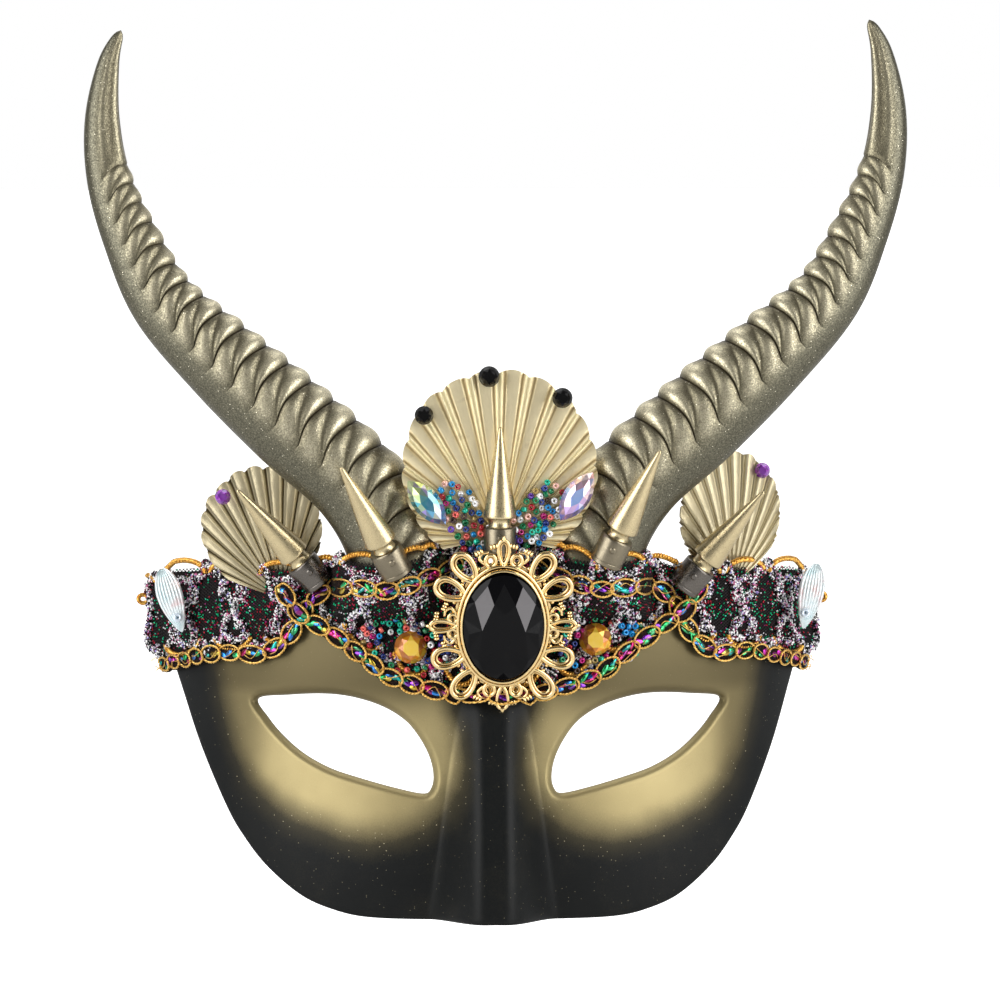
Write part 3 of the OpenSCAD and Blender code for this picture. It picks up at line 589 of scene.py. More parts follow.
def hornShape(front, side, length):
    s = hornSizes
    line = curveThrough(hornLine, 2001)
    along = lengthAlong(line[:, :3])
    knots = np.linspace(0, 1, 2001)
    top = np.interp(s["ridgesTo"], knots, along)
    foot = np.interp(s["ridgesFrom"], knots, along)
    count = s["ridges"]
    weight = 0.74 + 0.4 * ((np.arange(count) + 0.5) / count) ** 0.8
    creases = top - np.concatenate([[0], np.cumsum(weight)]) / weight.sum() * (top - foot)
    # each row: place along the horn, share of its ridge, that ridge's pitch, number and strength
    rows = [(foot * t, 0, 8, count - 1, 0) for t in np.linspace(0, 1, 8)[:-1]]
    for n in range(count - 1, -1, -1):
        pitch = creases[n] - creases[n + 1]
        for u in ridgeRows[::-1]:
            rows.append((creases[n] - u * (pitch - 0.02), u, pitch, n, 0.5 + 0.5 * min(1, n / 8)))
    rows += [(lerp(top, along[-1], t), 1, 4, 0, 0) for t in np.linspace(0, 1, 50)[1:]]
    rows = np.array(rows)
    steps = 64 if front else 40
    angle = np.linspace(0, 180, steps + 1)
    across = (1 - np.cos(np.radians(angle))) / 2
    numbers = np.convolve(np.pad(rows[:, 3], 16, "edge"), np.ones(33) / 33, "valid")[:, None]
    pitches = np.convolve(np.pad(rows[:, 2], 16, "edge"), np.ones(33) / 33, "valid")[:, None]
    bow = -0.24 * np.sin(math.pi * np.clip(across / 0.62, 0, 1))[None]
    slant = np.clip(lerp(0.5, 0.06, numbers / 9), 0.06, 0.5) * (across / 0.6)[None]
    slide = pitches * (bow + slant) * smooth((along[-1] - rows[:, 0:1]) / 14)
    s0 = np.clip(rows[:, 0:1] - slide, 0, along[-1])
    fade = (1 - smooth((across - 0.54) / 0.24))[None]
    if not front:
        fade = 0.75 * (1 - smooth((across - 0.3) / 0.3))[None]
    fold = ridgeHeight(rows[:, 1:2], across[None]) * s["height"] * fade * rows[:, 4:5]
    # two long flutes run on above the ridges
    upTip = smooth((rows[:, 0:1] - top * 0.97) / 14)
    flutes = upTip * 0.24 * (np.cos(np.radians((angle - 38) * 6.5)) * smooth((112 - angle) / 22))[None]
    t = np.interp(s0, along, knots)
    c = np.stack([np.interp(t, knots, line[:, i]) for i in range(4)], -1)
    d = unit(np.gradient(line[:, :3], axis=0))
    d = np.stack([np.interp(t, knots, d[:, i]) for i in range(3)], -1)
    up = unit(np.stack([-d[..., 2], 0 * d[..., 0], d[..., 0]], -1))
    out = np.cross(d, up)
    deep = s["front"] if front else s["back"]
    way = 1 if front else -1
    a = np.radians(angle)[None, :, None]
    grids = []
    for inner in (0, 1):
        r = c[..., 3] + (fold + flutes * (c[..., 3] / 6)) * (1 - inner * 0.5) - inner * s["wall"]
        r = np.maximum(r, c[..., 3] * (0.3 if inner else 0.6))
        # both halves close in one rounded point
        r = (r * np.sqrt(np.clip(1 - np.clip((s0 - along[-1]) / 2.6 + 1, 0, 1) ** 2, 0.004, 1)))[..., None]
        grids.append(c[..., :3] + r * (np.cos(a) * up + way * deep * np.sin(a) * out))
    outer, inner = [hornFoot + (g - hornFoot) * length for g in grids]
    for g in (outer, inner):
        g[..., 0] = side * g[..., 0] + s["shift"]
    m, n = outer.shape[:2]
    faces = gridFaces(m, n)
    flip = (side > 0) == front
    size = m * n
    j = np.arange(n - 1)
    i = np.arange(m - 1)
    edges = [np.stack([j, j + 1, size + j + 1, size + j], 1)]
    edges.append(np.stack([j + 1, j, size + j, size + j + 1], 1) + np.array((m - 1) * n))
    edges.append(np.stack([(i + 1) * n, i * n, size + i * n, size + (i + 1) * n], 1))
    edges.append(np.stack([i * n, (i + 1) * n, size + (i + 1) * n, size + i * n], 1) + n - 1)
    faces = np.vstack([faces[:, ::-1], faces + size] + edges)
    if not flip:
        faces = faces[:, ::-1]
    points = np.vstack([outer.reshape(-1, 3), inner.reshape(-1, 3)])
    # low carries painted shade in the grooves; high marks the ridge and flute crests, lighter partly from
    # dry-brushed gold and partly as painted highlight
    low = np.clip(-fold / s["height"] * 1.2 - 0.12, 0, 1)
    low = np.maximum(low, np.clip(-flutes * 1.6, 0, 1))
    high = np.clip(fold / s["height"] * 1.3, 0, 1) + np.clip(flutes * 1.3, 0, 1)
    plain = np.broadcast_to(smooth((angle - 84) / 45)[None], fold.shape)
    tones = {"low": low, "high": high, "plain": plain}
    extra = {key: np.concatenate([value.ravel(), value.ravel()]) for key, value in tones.items()}
    return part(points, faces), extra


def hornFinish(name, back):
    made, tree, shader = newFinish(name, (0.3, 0.27, 0.18), 0.34, 0.75)
    grain = noise(tree, 2300, 2, 0.75)
    cloud = noise(tree, 120, 4, 0.6)
    low, high, plain = attribute(tree, "low"), attribute(tree, "high"), attribute(tree, "plain")
    base = mixed(tree, cloud, (0.155, 0.137, 0.086), (0.27, 0.243, 0.16))
    # crests turn pale gold: part dry-brushed paint, part painted highlight
    base = mixed(tree, maths(tree, "MULTIPLY", high, 0.85), base, (0.76, 0.69, 0.49))
    base = mixed(tree, maths(tree, "MULTIPLY", plain, 0.85), base, (0.105, 0.1, 0.072))
    grit = ramp(tree, grain, [(0.3, grey(0.35)), (0.5, grey(0.9)), (0.72, grey(2.0))])
    base = mixed(tree, 0.75, base, grit, "MULTIPLY")
    # painted shade: groove bottoms turn near black
    base = mixed(tree, low, base, (0.03, 0.02, 0.009))
    glint = specks(tree, 0.45, 0.035, 0.26)
    base = mixed(tree, maths(tree, "MULTIPLY", glint, maths(tree, "SUBTRACT", 1.0, low, True)), base,
                 (1.0, 0.93, 0.72))
    if back:
        base = mixed(tree, 0.55, base, (0.12, 0.11, 0.08))
    tree.links.new(base, shader.inputs["Base Color"])
    tree.links.new(ramp(tree, grain, [(0.3, grey(0.46)), (0.7, grey(0.24))]), shader.inputs["Roughness"])
    bumped(tree, shader, maths(tree, "ADD", grain, maths(tree, "MULTIPLY", cloud, 1.5)), 0.09, 0.8)
    return made


hornFront = hornFinish("pewterGoldPaint", False)
hornBack = hornFinish("dullPewterPaint", True)
for sideName, side in (("left", -1), ("right", 1)):
    length = hornSizes[sideName + "Length"]
    for face in ("front", "back"):
        node = "horn_" + sideName + "_" + face
        shape, tones = hornShape(face == "front", side, length)
        shape[0] = fitted(shape[0], node)
        addPiece(node + "_shell", shape, [hornFront if face == "front" else hornBack],
                 [node], 32, tones)
print("horns made")


# hot glue, where a horn stands on the shell and behind the jewel
glueSizes = {"lumps": 0.7, "jewelWide": 10, "jewelHigh": 11, "jewelDeep": 5}


def glueFinish():
    made, tree, shader = newFinish("hotGlue", (0.62, 0.52, 0.33), 0.28, Subsurface_Weight=0.25, IOR=1.48)
    cloud = noise(tree, 140, 3)
    tree.links.new(mixed(tree, cloud, (0.5, 0.4, 0.22), (0.72, 0.64, 0.46)), shader.inputs["Base Color"])
    bumped(tree, shader, cloud, 0.4, 0.7)
    return made


def lumpy(points, amount):
    c = points.mean(0)
    d = points - c
    a = np.arctan2(d[:, 1], d[:, 0])
    high = d[:, 2]
    wave = np.sin(3 * a + high * 0.5) + 0.6 * np.sin(5 * a - high * 0.9 + 1) + 0.4 * np.sin(high * 1.3)
    return points + unit(d) * (amount * wave * 0.4)[:, None]


glue = glueFinish()
for sideName in ("left", "right"):
    node = "horn_glue_" + sideName
    bead = ball(1, 48)
    low, high = nodeBox(node)
    bead[0] = lumpy(bead[0] * (high - low) / 2, glueSizes["lumps"])
    bead[0] = fitted(bead[0], node)
    addPiece(node + "_bead", bead, [glue], [node], weld=0.001)
pad = lathe([[0, 0], [0.9, 0.0], [1.0, 0.12], [1.02, 0.5], [1.0, 0.88], [0.9, 1.0], [0, 1]], 56)
pad[0] = pad[0] * [glueSizes["jewelWide"], glueSizes["jewelHigh"], glueSizes["jewelDeep"]]
pad[0] = lumpy(pad[0], 0.5) @ turned("x", 102).T
pad[0] = fitted(pad[0], "jewel_pad")
addPiece("jewel_pad_lump", pad, [glue], ["jewel_pad"], weld=0.001)


# pressed metal scallop shells
scallopSizes = {
    "centre": {"radius": 26.6, "reach": 19, "half": 102, "folds": 19, "foldHeight": 1.35, "bow": 1.6,
               "place": (1.6, -6.2, 45.2), "tilt": -3, "lean": 0, "turn": 0, "wide": True},
    "left": {"radius": 17, "reach": 20.6, "half": 54, "folds": 13, "foldHeight": 0.9, "bow": 1.2,
             "place": (-57.3, 15.5, 26.5), "tilt": 0, "lean": -17, "turn": -15, "wide": False},
    "right": {"radius": 17, "reach": 20.6, "half": 54, "folds": 13, "foldHeight": 0.9, "bow": 1.2,
              "place": (67.3, 22, 29), "tilt": 0, "lean": -3, "turn": 33, "wide": False}}
sheetThickness = 0.55


def scallopShape(s):
    perFold, rows = 22, 30
    steps = s["folds"] * perFold
    u = np.arange(steps + 1) / perFold
    v = u % 1.0
    a = np.radians(lerp(-s["half"], s["half"], u / s["folds"]))
    if s["wide"]:
        rib = 1.0 * bell(v, 0.4, 0.05) + 1.0 * bell(v, 0.6, 0.05) + 0.5 * bell(v, 0.5, 0.1)
        rib = rib - 0.3 * bell(v, 0.3, 0.035) - 0.3 * bell(v, 0.7, 0.035) + 0.1 * np.cos(2 * math.pi * v)
    else:
        rib = 0.95 * bell(v, 0.47, 0.06) - 0.6 * bell(v, 0.58, 0.045) + 0.35 * bell(v, 0.72, 0.06)
        rib = rib + 0.12 * np.cos(2 * math.pi * v)
    wobble = dice.normal(size=s["folds"] + 2) * 0.28
    wander = np.interp(u, np.arange(s["folds"] + 2), wobble)
    edge = s["reach"] * np.cos(a) + np.sqrt(np.maximum(s["radius"] ** 2 - (s["reach"] * np.sin(a)) ** 2, 0))
    edge = edge + 1.15 * np.abs(np.cos(math.pi * v)) ** 0.7 + wander
    q = np.linspace(0, 1, rows + 1)[None]
    r = 1.5 + (edge[:, None] - 1.5) * q
    lip = 0.6 * smooth((q - 0.94) / 0.06) * (0.4 + rib[:, None])
    y = -s["bow"] * np.sin(np.radians(150) * q) - s["foldHeight"] * q ** 0.8 * rib[:, None] - lip * 0.4
    front = np.stack([r * np.sin(a)[:, None], y, r * np.cos(a)[:, None]], -1)
    back = front + [0, sheetThickness, 0]
    m, n = front.shape[:2]
    size = m * n
    i, j = np.arange(m - 1), np.arange(n - 1)
    faces = [gridFaces(m, n)[:, ::-1], gridFaces(m, n) + size,
             np.stack([(i + 1) * n, i * n, size + i * n, size + (i + 1) * n], 1)[:, ::-1],
             np.stack([i * n, (i + 1) * n, size + (i + 1) * n, size + i * n], 1)[:, ::-1] + n - 1,
             np.stack([j, j + 1, size + j + 1, size + j], 1)[:, ::-1],
             np.stack([j + 1, j, size + j, size + j + 1], 1)[:, ::-1] + (m - 1) * n]
    points = np.vstack([front.reshape(-1, 3), back.reshape(-1, 3)])
    turn = turned("z", s["turn"]) @ turned("y", s["lean"]) @ turned("x", s["tilt"])
    ribs = np.broadcast_to(rib[:, None] * q ** 0.5, (m, n)).ravel()
    # low is painted shade in the rib grooves and also darkens the band next to the hinge; high marks the
    # crests for a painted highlight
    low = np.clip(-ribs * 3.2, 0, 1) + 0.5 * np.broadcast_to(smooth((0.25 - q) / 0.25), (m, n)).ravel()
    extra = {"low": np.concatenate([low, low]), "high": np.concatenate([np.clip(ribs, 0, 1)] * 2)}
    return part(points @ turn.T + np.array(s["place"]), np.vstack(faces)), extra


def scallopFinish(name, panel, rim, groove, metallic):
    made, tree, shader = newFinish(name, panel, 0.34, metallic)
    cloud = noise(tree, 160, 4, 0.6)
    fine = noise(tree, 1900, 2, 0.6)
    base = mixed(tree, cloud, tuple(0.82 * c for c in panel), panel)
    # painted highlight on the rib crests, painted shade in the grooves
    base = mixed(tree, attribute(tree, "high"), base, rim)
    base = mixed(tree, attribute(tree, "low"), base, groove)
    base = mixed(tree, ramp(tree, cloud, [(0.62, grey(0)), (0.75, grey(0.35))]), base, groove)
    tree.links.new(base, shader.inputs["Base Color"])
    tree.links.new(ramp(tree, fine, [(0.3, grey(0.28)), (0.7, grey(0.42))]), shader.inputs["Roughness"])
    bumped(tree, shader, maths(tree, "ADD", fine, maths(tree, "MULTIPLY", cloud, 4)), 0.05, 0.7)
    return made


# third colour: painted highlight on rib crests; fourth: painted shade in the grooves, also used for random
# dark patches
champagne = scallopFinish("champagneSheet", (1.0, 0.86, 0.54), (1.0, 0.95, 0.74), (0.3, 0.19, 0.07), 0.66)
khaki = scallopFinish("khakiSheet", (0.5, 0.43, 0.27), (0.9, 0.82, 0.58), (0.2, 0.155, 0.085), 0.65)
for key, sizes in scallopSizes.items():
    node = "scallop_" + key
    shape, tones = scallopShape(sizes)
    shape[0] = fitted(shape[0], node)
    finish = champagne if sizes["wide"] else khaki
    addPiece(node + "_sheet", shape, [finish], [node], 40, tones)
print("scallops made")


# screw-on cone spikes with their bases
spikeSizes = {"coneLength": 25, "coneWide": 9, "neckLength": 2.7, "neckWide": 6.8, "baseLength": 8}
spikes = {"centre": ((1.4, -11, 51.2), 0, 5), "inner_left": ((-31.4, -12.5, 44.7), -28, 18),
          "inner_right": ((34.8, -12.5, 47.9), 25, 14), "outer_left": ((-54.6, 6, 39.8), -41, 12),
          "outer_right": ((59.8, 9, 38.1), 39, 12)}


def coneProfile(s):
    wide = s["coneWide"] / 2
    cone = [[wide - 0.35, 0.0], [wide - 0.08, 0.1], [wide, 0.4], [wide - 0.03, 0.7]]
    top = s["coneLength"]
    cone += [[lerp(wide - 0.05, 0.62, t ** 1.02), lerp(0.9, top - 0.7, t)] for t in np.linspace(0, 1, 26)]
    cone += [[0.48, top - 0.35], [0.28, top - 0.1], [0, top]]
    neck = s["neckWide"] / 2
    long = s["neckLength"]
    down = [[neck - 0.55 * math.sin(math.pi * t) ** 0.8, -long * (1 - t)] for t in np.linspace(0, 1, 12)]
    return [[0, -long]] + down + cone


def baseProfile(s):
    wide, low, top = s["coneWide"] / 2, -s["neckLength"] - s["baseLength"], -s["neckLength"]
    return [[0, low], [wide - 0.3, low], [wide, low + 0.3], [wide, low + 1.2], [wide - 0.07, low + 1.3],
            [wide - 0.07, low + 1.45], [wide, low + 1.55], [wide, top - 0.5], [wide - 0.12, top - 0.2],
            [wide - 0.4, top], [0, top]]


def brushedMetal(name, colour, dark, rough):
    made, tree, shader = newFinish(name, colour, rough, 1.0)
    along = attribute(tree, "along")
    lines = addNode(tree, "TexNoise", {"W": along, "Scale": 9.0, "Detail": 4.0, "Roughness": 0.7},
                    noise_dimensions="1D").outputs["Fac"]
    cloud = noise(tree, 130, 3)
    fine = noise(tree, 2400, 2)
    base = mixed(tree, cloud, dark, colour)
    base = mixed(tree, ramp(tree, lines, [(0.35, grey(0.35)), (0.6, grey(0))]), base, dark)
    tree.links.new(base, shader.inputs["Base Color"])
    tree.links.new(ramp(tree, fine, [(0.3, grey(rough - 0.06)), (0.7, grey(rough + 0.08))]),
                   shader.inputs["Roughness"])
    bumped(tree, shader, maths(tree, "ADD", lines, maths(tree, "MULTIPLY", fine, 0.4)), 0.025, 0.7)
    return made


spikeGold = brushedMetal("satinSpikeGold", (0.72, 0.6, 0.36), (0.5, 0.41, 0.24), 0.3)
spikeBronze = brushedMetal("darkSpikeBase", (0.3, 0.26, 0.18), (0.17, 0.145, 0.105), 0.32)
gunmetal = brushedMetal("gunmetalSpikeBase", (0.21, 0.19, 0.17), (0.1, 0.09, 0.08), 0.26)
for key, (foot, lean, forward) in spikes.items():
    turn = turned("y", lean) @ turned("x", forward)
    s = spikeSizes
    cone = lathe(coneProfile(s), 96)
    coneAlong = {"along": cone[0][:, 2]}
    cone = moved(cone, turn, foot)
    cone[0] = fitted(cone[0], "spike_cone_" + key)
    addPiece("spike_cone_" + key + "_turned", cone, [spikeGold], ["spike_cone_" + key], 34,
             coneAlong)
    pipAt = (0, -s["coneWide"] / 2 + 0.3, -s["neckLength"] - s["baseLength"] * 0.35)
    pip = lathe([[0, 0], [0.85, 0], [0.85, 0.45], [0.62, 0.68], [0, 0.74]], 24)
    pip = moved(pip, turned("x", 90), pipAt)
    base = joined([lathe(baseProfile(s), 96), pip])
    baseAlong = {"along": base[0][:, 2]}
    base = moved(base, turn, foot)
    base[0] = fitted(base[0], "spike_base_" + key)
    addPiece("spike_base_" + key + "_turned", base, [gunmetal if "outer" in key else spikeBronze],
             ["spike_base_" + key], 34, baseAlong)
print("spikes made")


# openwork setting and its oval stone
settingSizes = {"fleurons": ((0, 15, 3.6, 1.5, 9.8), (180, 15, 3.7, 1.5, 9.4),
                             (90, 11, 2.1, 1.15, 10.4), (-90, 11, 2.1, 1.15, 10.4)),
                "middle": (2.3, -10, 21.6), "tilt": 12, "stoneWide": 22, "stoneHigh": 30, "stoneThick": 4.9,
                "wire": 0.68, "petalWide": 6.8, "petalLong": 9.0,
                "petals": ((30, 24), (50, 52), (-30, -9), (-50, -54))}


def ovalPath(a, b, z, count=96):
    t = np.arange(count) / count * 2 * math.pi
    return np.stack([a * np.cos(t), b * np.sin(t), z + 0 * t], 1)


def petalPath(long, wide, z):
    t = np.arange(36) / 36 * 2 * math.pi
    s = (1 - np.cos(t)) / 2
    return np.stack([wide / 2 * np.sin(t) * (0.55 + 0.45 * s), long * s, z + 0 * t], 1)


def petalParts(at, degrees, long, wide, wire):
    turn = turned("z", degrees)
    loops = [tube(petalPath(long, wide, 0.75), wire, 10, True, thick=1.15)]
    step = wire * 1.55
    inner = petalPath(long - 2 * step, wide - 2 * step, 0.35) + [0, step, 0]
    loops.append(tube(inner, wire * 0.55, 8, True))
    return [moved(p, turn, (*at, 0)) for p in loops]


def beadBar(x, y, degrees):
    turn = turned("z", degrees)
    beads = []
    for k in (-1, 0, 1):
        pearl = ball(0.62, 10)
        pearl[0] = pearl[0] * [0.8, 1.35, 1]
        beads.append(moved(pearl, turn, np.array([x, y, 0.8]) + turn @ [k * 0.85, 0, 0]))
    return beads


def settingShape():
    s = settingSizes
    a, b = s["stoneWide"] / 2, s["stoneHigh"] / 2
    wire = s["wire"]
    parts = [tube(ovalPath(a + 1.5, b + 1.5, 0.9), 0.62, 12, True, thick=1.2),
             tube(ovalPath(a + 0.45, b + 0.45, 1.9), 0.58, 12, True, thick=1.2),
             tube(ovalPath(a + 0.95, b + 0.95, 0.5), 0.9, 8, True, thick=0.5),
             tube(ovalPath(a + 2.0, b + 2.0, 0.25), 0.9, 8, True, thick=0.3),
             tube(ovalPath(a - 0.9, b - 0.9, 0.4), 1.2, 8, True, thick=0.3)]
    for p, lean in s["petals"]:
        c, q = math.cos(math.radians(p)), math.sin(math.radians(p))
        for side in (1, -1):
            foot = np.array([side * (a + 1.1) * c, (b + 1.1) * q])
            parts += petalParts(foot, side * (lean - 90), s["petalLong"], s["petalWide"], wire)
            # small beads fill the corners between neighbouring petals
            away = np.array([side * math.cos(math.radians(lean)), math.sin(math.radians(lean))])
            for way in (1, -1):
                corner = foot + away * 2.2 + way * 2.7 * np.array([-away[1], away[0]])
                parts.append(moved(ball(0.6, 10), None, (*corner, 0.6)))
    for degrees, reach, spread, curl, tip in s["fleurons"]:
        turn = turned("z", degrees)
        own = []
        for side in (1, -1):
            at = (side * spread, reach + 2.9, 0)
            own.append(moved(tube(ovalPath(curl, curl * 1.1, 0.8, 28), 0.56, 10, True), None, at))
            own.append(moved(tube(ovalPath(curl * 0.55, curl * 0.6, 0.4, 20), 0.26, 8, True), None, at))
            own += beadBar(side * (spread + 3.3), reach + 5.2, -side * 28)
            own += beadBar(side * 2.7, reach + tip - 2.9, -side * 10)
            hook = curveThrough([[spread + curl, reach + 2], [spread + curl + 1.6, reach + 3.4],
                                 [spread + curl + 0.9, reach + 4.9], [spread + 0.6, reach + 5.3]], 20)
            path = np.stack([side * hook[:, 0], hook[:, 1], 0.6 + 0 * hook[:, 0]], 1)
            own.append(tube(path, np.linspace(0.55, 0.36, 20), 8))
        own += petalParts((0, reach + 2.0), 0, tip - 3.2, 3.9, 0.56)
        own.append(moved(lathe([[0, -0.6], [0.55, -0.4], [0.7, 0], [0.5, 0.6], [0.22, 1.1], [0, 1.25]], 14),
                         turned("x", -90), (0, reach + tip - 1.1, 0.75)))
        own.append(moved(ball(0.75, 12), None, (0, reach + 1.7, 0.9)))
        parts += [moved(p, turn) for p in own]
    return joined(parts)


def polishedGold():
    made, tree, shader = newFinish("polishedGold", (0.95, 0.72, 0.34), 0.16, 1.0)
    cloud = noise(tree, 420, 3)
    # painted shade: the gold is darkened to brown where ambient occlusion finds hollows
    hollow = addNode(tree, "AmbientOcclusion", {"Distance": 1.3 * mm}, samples=4).outputs["AO"]
    hollowShade = ramp(tree, hollow, [(0.25, grey(1)), (0.8, grey(0))])
    base = mixed(tree, cloud, (0.86, 0.6, 0.24), (1.0, 0.8, 0.45))
    base = mixed(tree, hollowShade, base, (0.3, 0.16, 0.04))
    tree.links.new(base, shader.inputs["Base Color"])
    tree.links.new(ramp(tree, cloud, [(0.3, grey(0.12)), (0.7, grey(0.24))]), shader.inputs["Roughness"])
    bumped(tree, shader, cloud, 0.06, 0.5)
    return made


def gem(points, tintFor):
    # a cut stone: the convex hull of its corners, every facet with its own tint
    work = bmesh.new()
    for p in points:
        work.verts.new(p)
    bmesh.ops.convex_hull(work, input=work.verts)
    corners = np.array([[v.co[:] for v in f.verts] for f in work.faces if len(f.verts) == 3])
    work.free()
    normals = unit(np.cross(corners[:, 1] - corners[:, 0], corners[:, 2] - corners[:, 0]))
    wrong = np.einsum("ij,ij->i", normals, corners.mean(1) - corners.mean((0, 1))) < 0
    corners[wrong] = corners[wrong][:, ::-1]
    normals[wrong] *= -1
    tints = tintFor(normals, corners.mean(1))
    faces = np.arange(len(corners) * 3).reshape(-1, 3)
    return part(corners.reshape(-1, 3), faces, np.repeat(tints, 3, axis=0))


def perFacet(palette, seed):
    # facets that lie in one plane share a tint
    def chosen(normals, centres):
        picked = {}
        roll = np.random.default_rng(seed)
        rows = []
        for n in normals:
            key = tuple(np.round(n, 2))
            if key not in picked:
                picked[key] = np.array(palette[roll.integers(len(palette))]) * roll.uniform(0.8, 1.15)
            rows.append(picked[key])
        return np.clip(np.array(rows), 0, 1)
    return chosen


def ring(a, b, z, count, offset=0.0):
    t = (np.arange(count) + offset) / count * 2 * math.pi
    return [[a * math.cos(k), b * math.sin(k), z] for k in t]


kites = [[(-0.41, 0.81), (-0.73, 0.51), (-0.54, -0.01), (-0.25, 0.48)],
         [(0.47, 0.79), (0.29, 0.46), (0.54, -0.04), (0.79, 0.46)]]


def ovalGem():
    # one flat kite stands at each side of the upper half, painted light grey among the black facets as a
    # painted reflection
    a = settingSizes["stoneWide"] / 2 - 0.15
    b = settingSizes["stoneHigh"] / 2 - 0.15
    h = settingSizes["stoneThick"]
    flat = [Vector((0.999 * math.cos(t), 0.999 * math.sin(t))) for t in np.arange(40) / 40 * 2 * math.pi]
    edges = [(k, (k + 1) % 40) for k in range(40)]
    for kite in kites:
        first = len(flat)
        flat += [Vector(p) for p in kite]
        edges += [(first, first + 1), (first + 1, first + 2), (first + 2, first + 3), (first + 3, first),
                  (first + 1, first + 3)]
    flat += [Vector(p) for p in ((0, 0.86), (-0.86, -0.1), (0.87, -0.1), (-0.62, -0.62), (0.62, -0.62),
                                 (0, -0.84), (0, -0.38), (0.02, 0.3))]
    made = delaunay_2d_cdt(flat, edges, [], 1, 1e-5)
    points = np.array([[p.x, p.y] for p in made[0]])
    faces = np.array(made[2])
    rise = 1.1 + (h - 1.1) * np.sqrt(np.maximum(0, 1 - 0.97 * (points ** 2).sum(1)))
    top = np.stack([a * points[:, 0], b * points[:, 1], rise], 1)
    tint = []
    for face in faces:
        x, y = points[face].mean(0)
        # painted reflection: the kite facets get a light grey tint, the rest stays black glass
        lit = any(insideOf(np.array([[x, y]]), kite)[0] for kite in kites)
        tint.append((0.17, 0.163, 0.167) if lit else (0.003, 0.003, 0.0035))
    t = np.arange(40) / 40 * 2 * math.pi
    girdle = np.concatenate([np.stack([a * np.cos(t), b * np.sin(t), z + 0 * t], 1) for z in (1.1, 0)])
    side = gridFaces(2, 40, False, True)
    base = np.stack([np.full(38, 40), 40 + np.arange(2, 40), 40 + np.arange(1, 39)], 1)
    return joined([part(top[faces].reshape(-1, 3), np.arange(len(faces) * 3).reshape(-1, 3),
                        np.repeat(tint, 3, axis=0)),
                   part(girdle, side[:, ::-1], (0.003, 0.003, 0.0035)),
                   part(girdle, base, (0.003, 0.003, 0.0035))])


def gemFinish(name, colour, rough, metallic, ior, tinted, coat=0.0, milky=0.06, glint=0.5):
    made, tree, shader = newFinish(name, colour, rough, metallic, IOR=ior, Coat_Weight=coat)
    shader.inputs["Coat Roughness"].default_value = 0.04
    shader.inputs["Specular IOR Level"].default_value = glint
    cloud = noise(tree, 700, 2)
    if tinted:
        base = attribute(tree, "tint", "Color")
    else:
        base = mixed(tree, cloud, colour, tuple(1.6 * c for c in colour))
    if tinted and milky:
        base = mixed(tree, ramp(tree, cloud, [(0.35, grey(0.0)), (0.75, grey(milky))]), base, (1, 1, 1))
    tree.links.new(base, shader.inputs["Base Color"])
    wear = ramp(tree, cloud, [(0.4, grey(rough)), (0.8, grey(rough + 0.06))])
    tree.links.new(wear, shader.inputs["Roughness"])
    bumped(tree, shader, cloud, 0.01, 0.3)
    return made


def settingPlace(shape):
    return moved(shape, turned("x", 90 + settingSizes["tilt"]), settingSizes["middle"])


gold = polishedGold()
blackGlass = gemFinish("blackGlass", (0.003, 0.003, 0.004), 0.06, 0.0, 1.5, True, milky=0, glint=0.13)
setting = settingPlace(settingShape())
setting[0] = fitted(setting[0], "jewel_setting")
addPiece("jewel_setting_openwork", setting, [gold], ["jewel_setting"])
stone = settingPlace(moved(ovalGem(), None, (0, 0, 1.4)))
stone[0] = fitted(stone[0], "oval_stone")
addPiece("oval_stone_cut", stone, [blackGlass], ["oval_stone"], 0)
print("centre jewel made")


# smaller stones
stoneColours = {
    "amber": [(0.85, 0.38, 0.01), (1.0, 0.62, 0.04), (0.6, 0.2, 0.005), (0.9, 0.33, 0.01),
              (0.45, 0.13, 0.005)],
    # amberTable is a painted highlight on the stone's table facet
    "amberTable": (1.0, 0.66, 0.07),
    "purple": [(0.2, 0.005, 0.35), (0.3, 0.01, 0.5), (0.13, 0.0, 0.26), (0.42, 0.05, 0.6)],
    "leftAurora": [(0.6, 0.75, 0.12), (0.02, 0.3, 0.5), (0.45, 0.2, 0.75), (0.02, 0.2, 0.22),
                   (0.05, 0.5, 0.65), (0.6, 0.65, 0.15), (0.5, 0.25, 0.75), (0.85, 0.9, 0.6),
                   (0.2, 0.25, 0.15)],
    "rightAurora": [(0.25, 0.3, 0.9), (0.55, 0.5, 0.9), (0.85, 0.45, 0.3), (0.2, 0.55, 1.0),
                    (0.9, 0.85, 0.9), (0.6, 0.3, 0.4), (0.95, 0.6, 0.4), (0.35, 0.25, 0.7), (0.3, 0.2, 0.2)]}


def roundGem(d, h, sides=10):
    r = d / 2
    low = ring(r * 0.94, r * 0.94, 0, 24) + ring(r, r, h * 0.26, 24)
    return low + ring(r * 0.79, r * 0.79, h * 0.74, sides) + ring(r * 0.5, r * 0.5, h, sides, 0.5)


def lensGem(long, wide, h):
    reach = (long * long + wide * wide) / (4 * wide)
    corners = []
    for scale, z, count in ((1, 0, 14), (1, h * 0.25, 14), (0.74, h * 0.78, 8), (0.4, h, 4)):
        for side in (1, -1):
            for x in np.linspace(long / 2, -long / 2, count):
                y = math.sqrt(reach * reach - x * x) - (reach - wide / 2)
                corners.append([scale * x, side * scale * y, z])
    return corners


def seatedGem(node, name, corners, tintFor, finish, turn=0):
    stone = moved(gem(corners, tintFor), turned("y", -turn) @ turned("x", 90))
    stone[0] = centred(stone[0], node)
    return addPiece(name, stone, [finish], [node], 0)


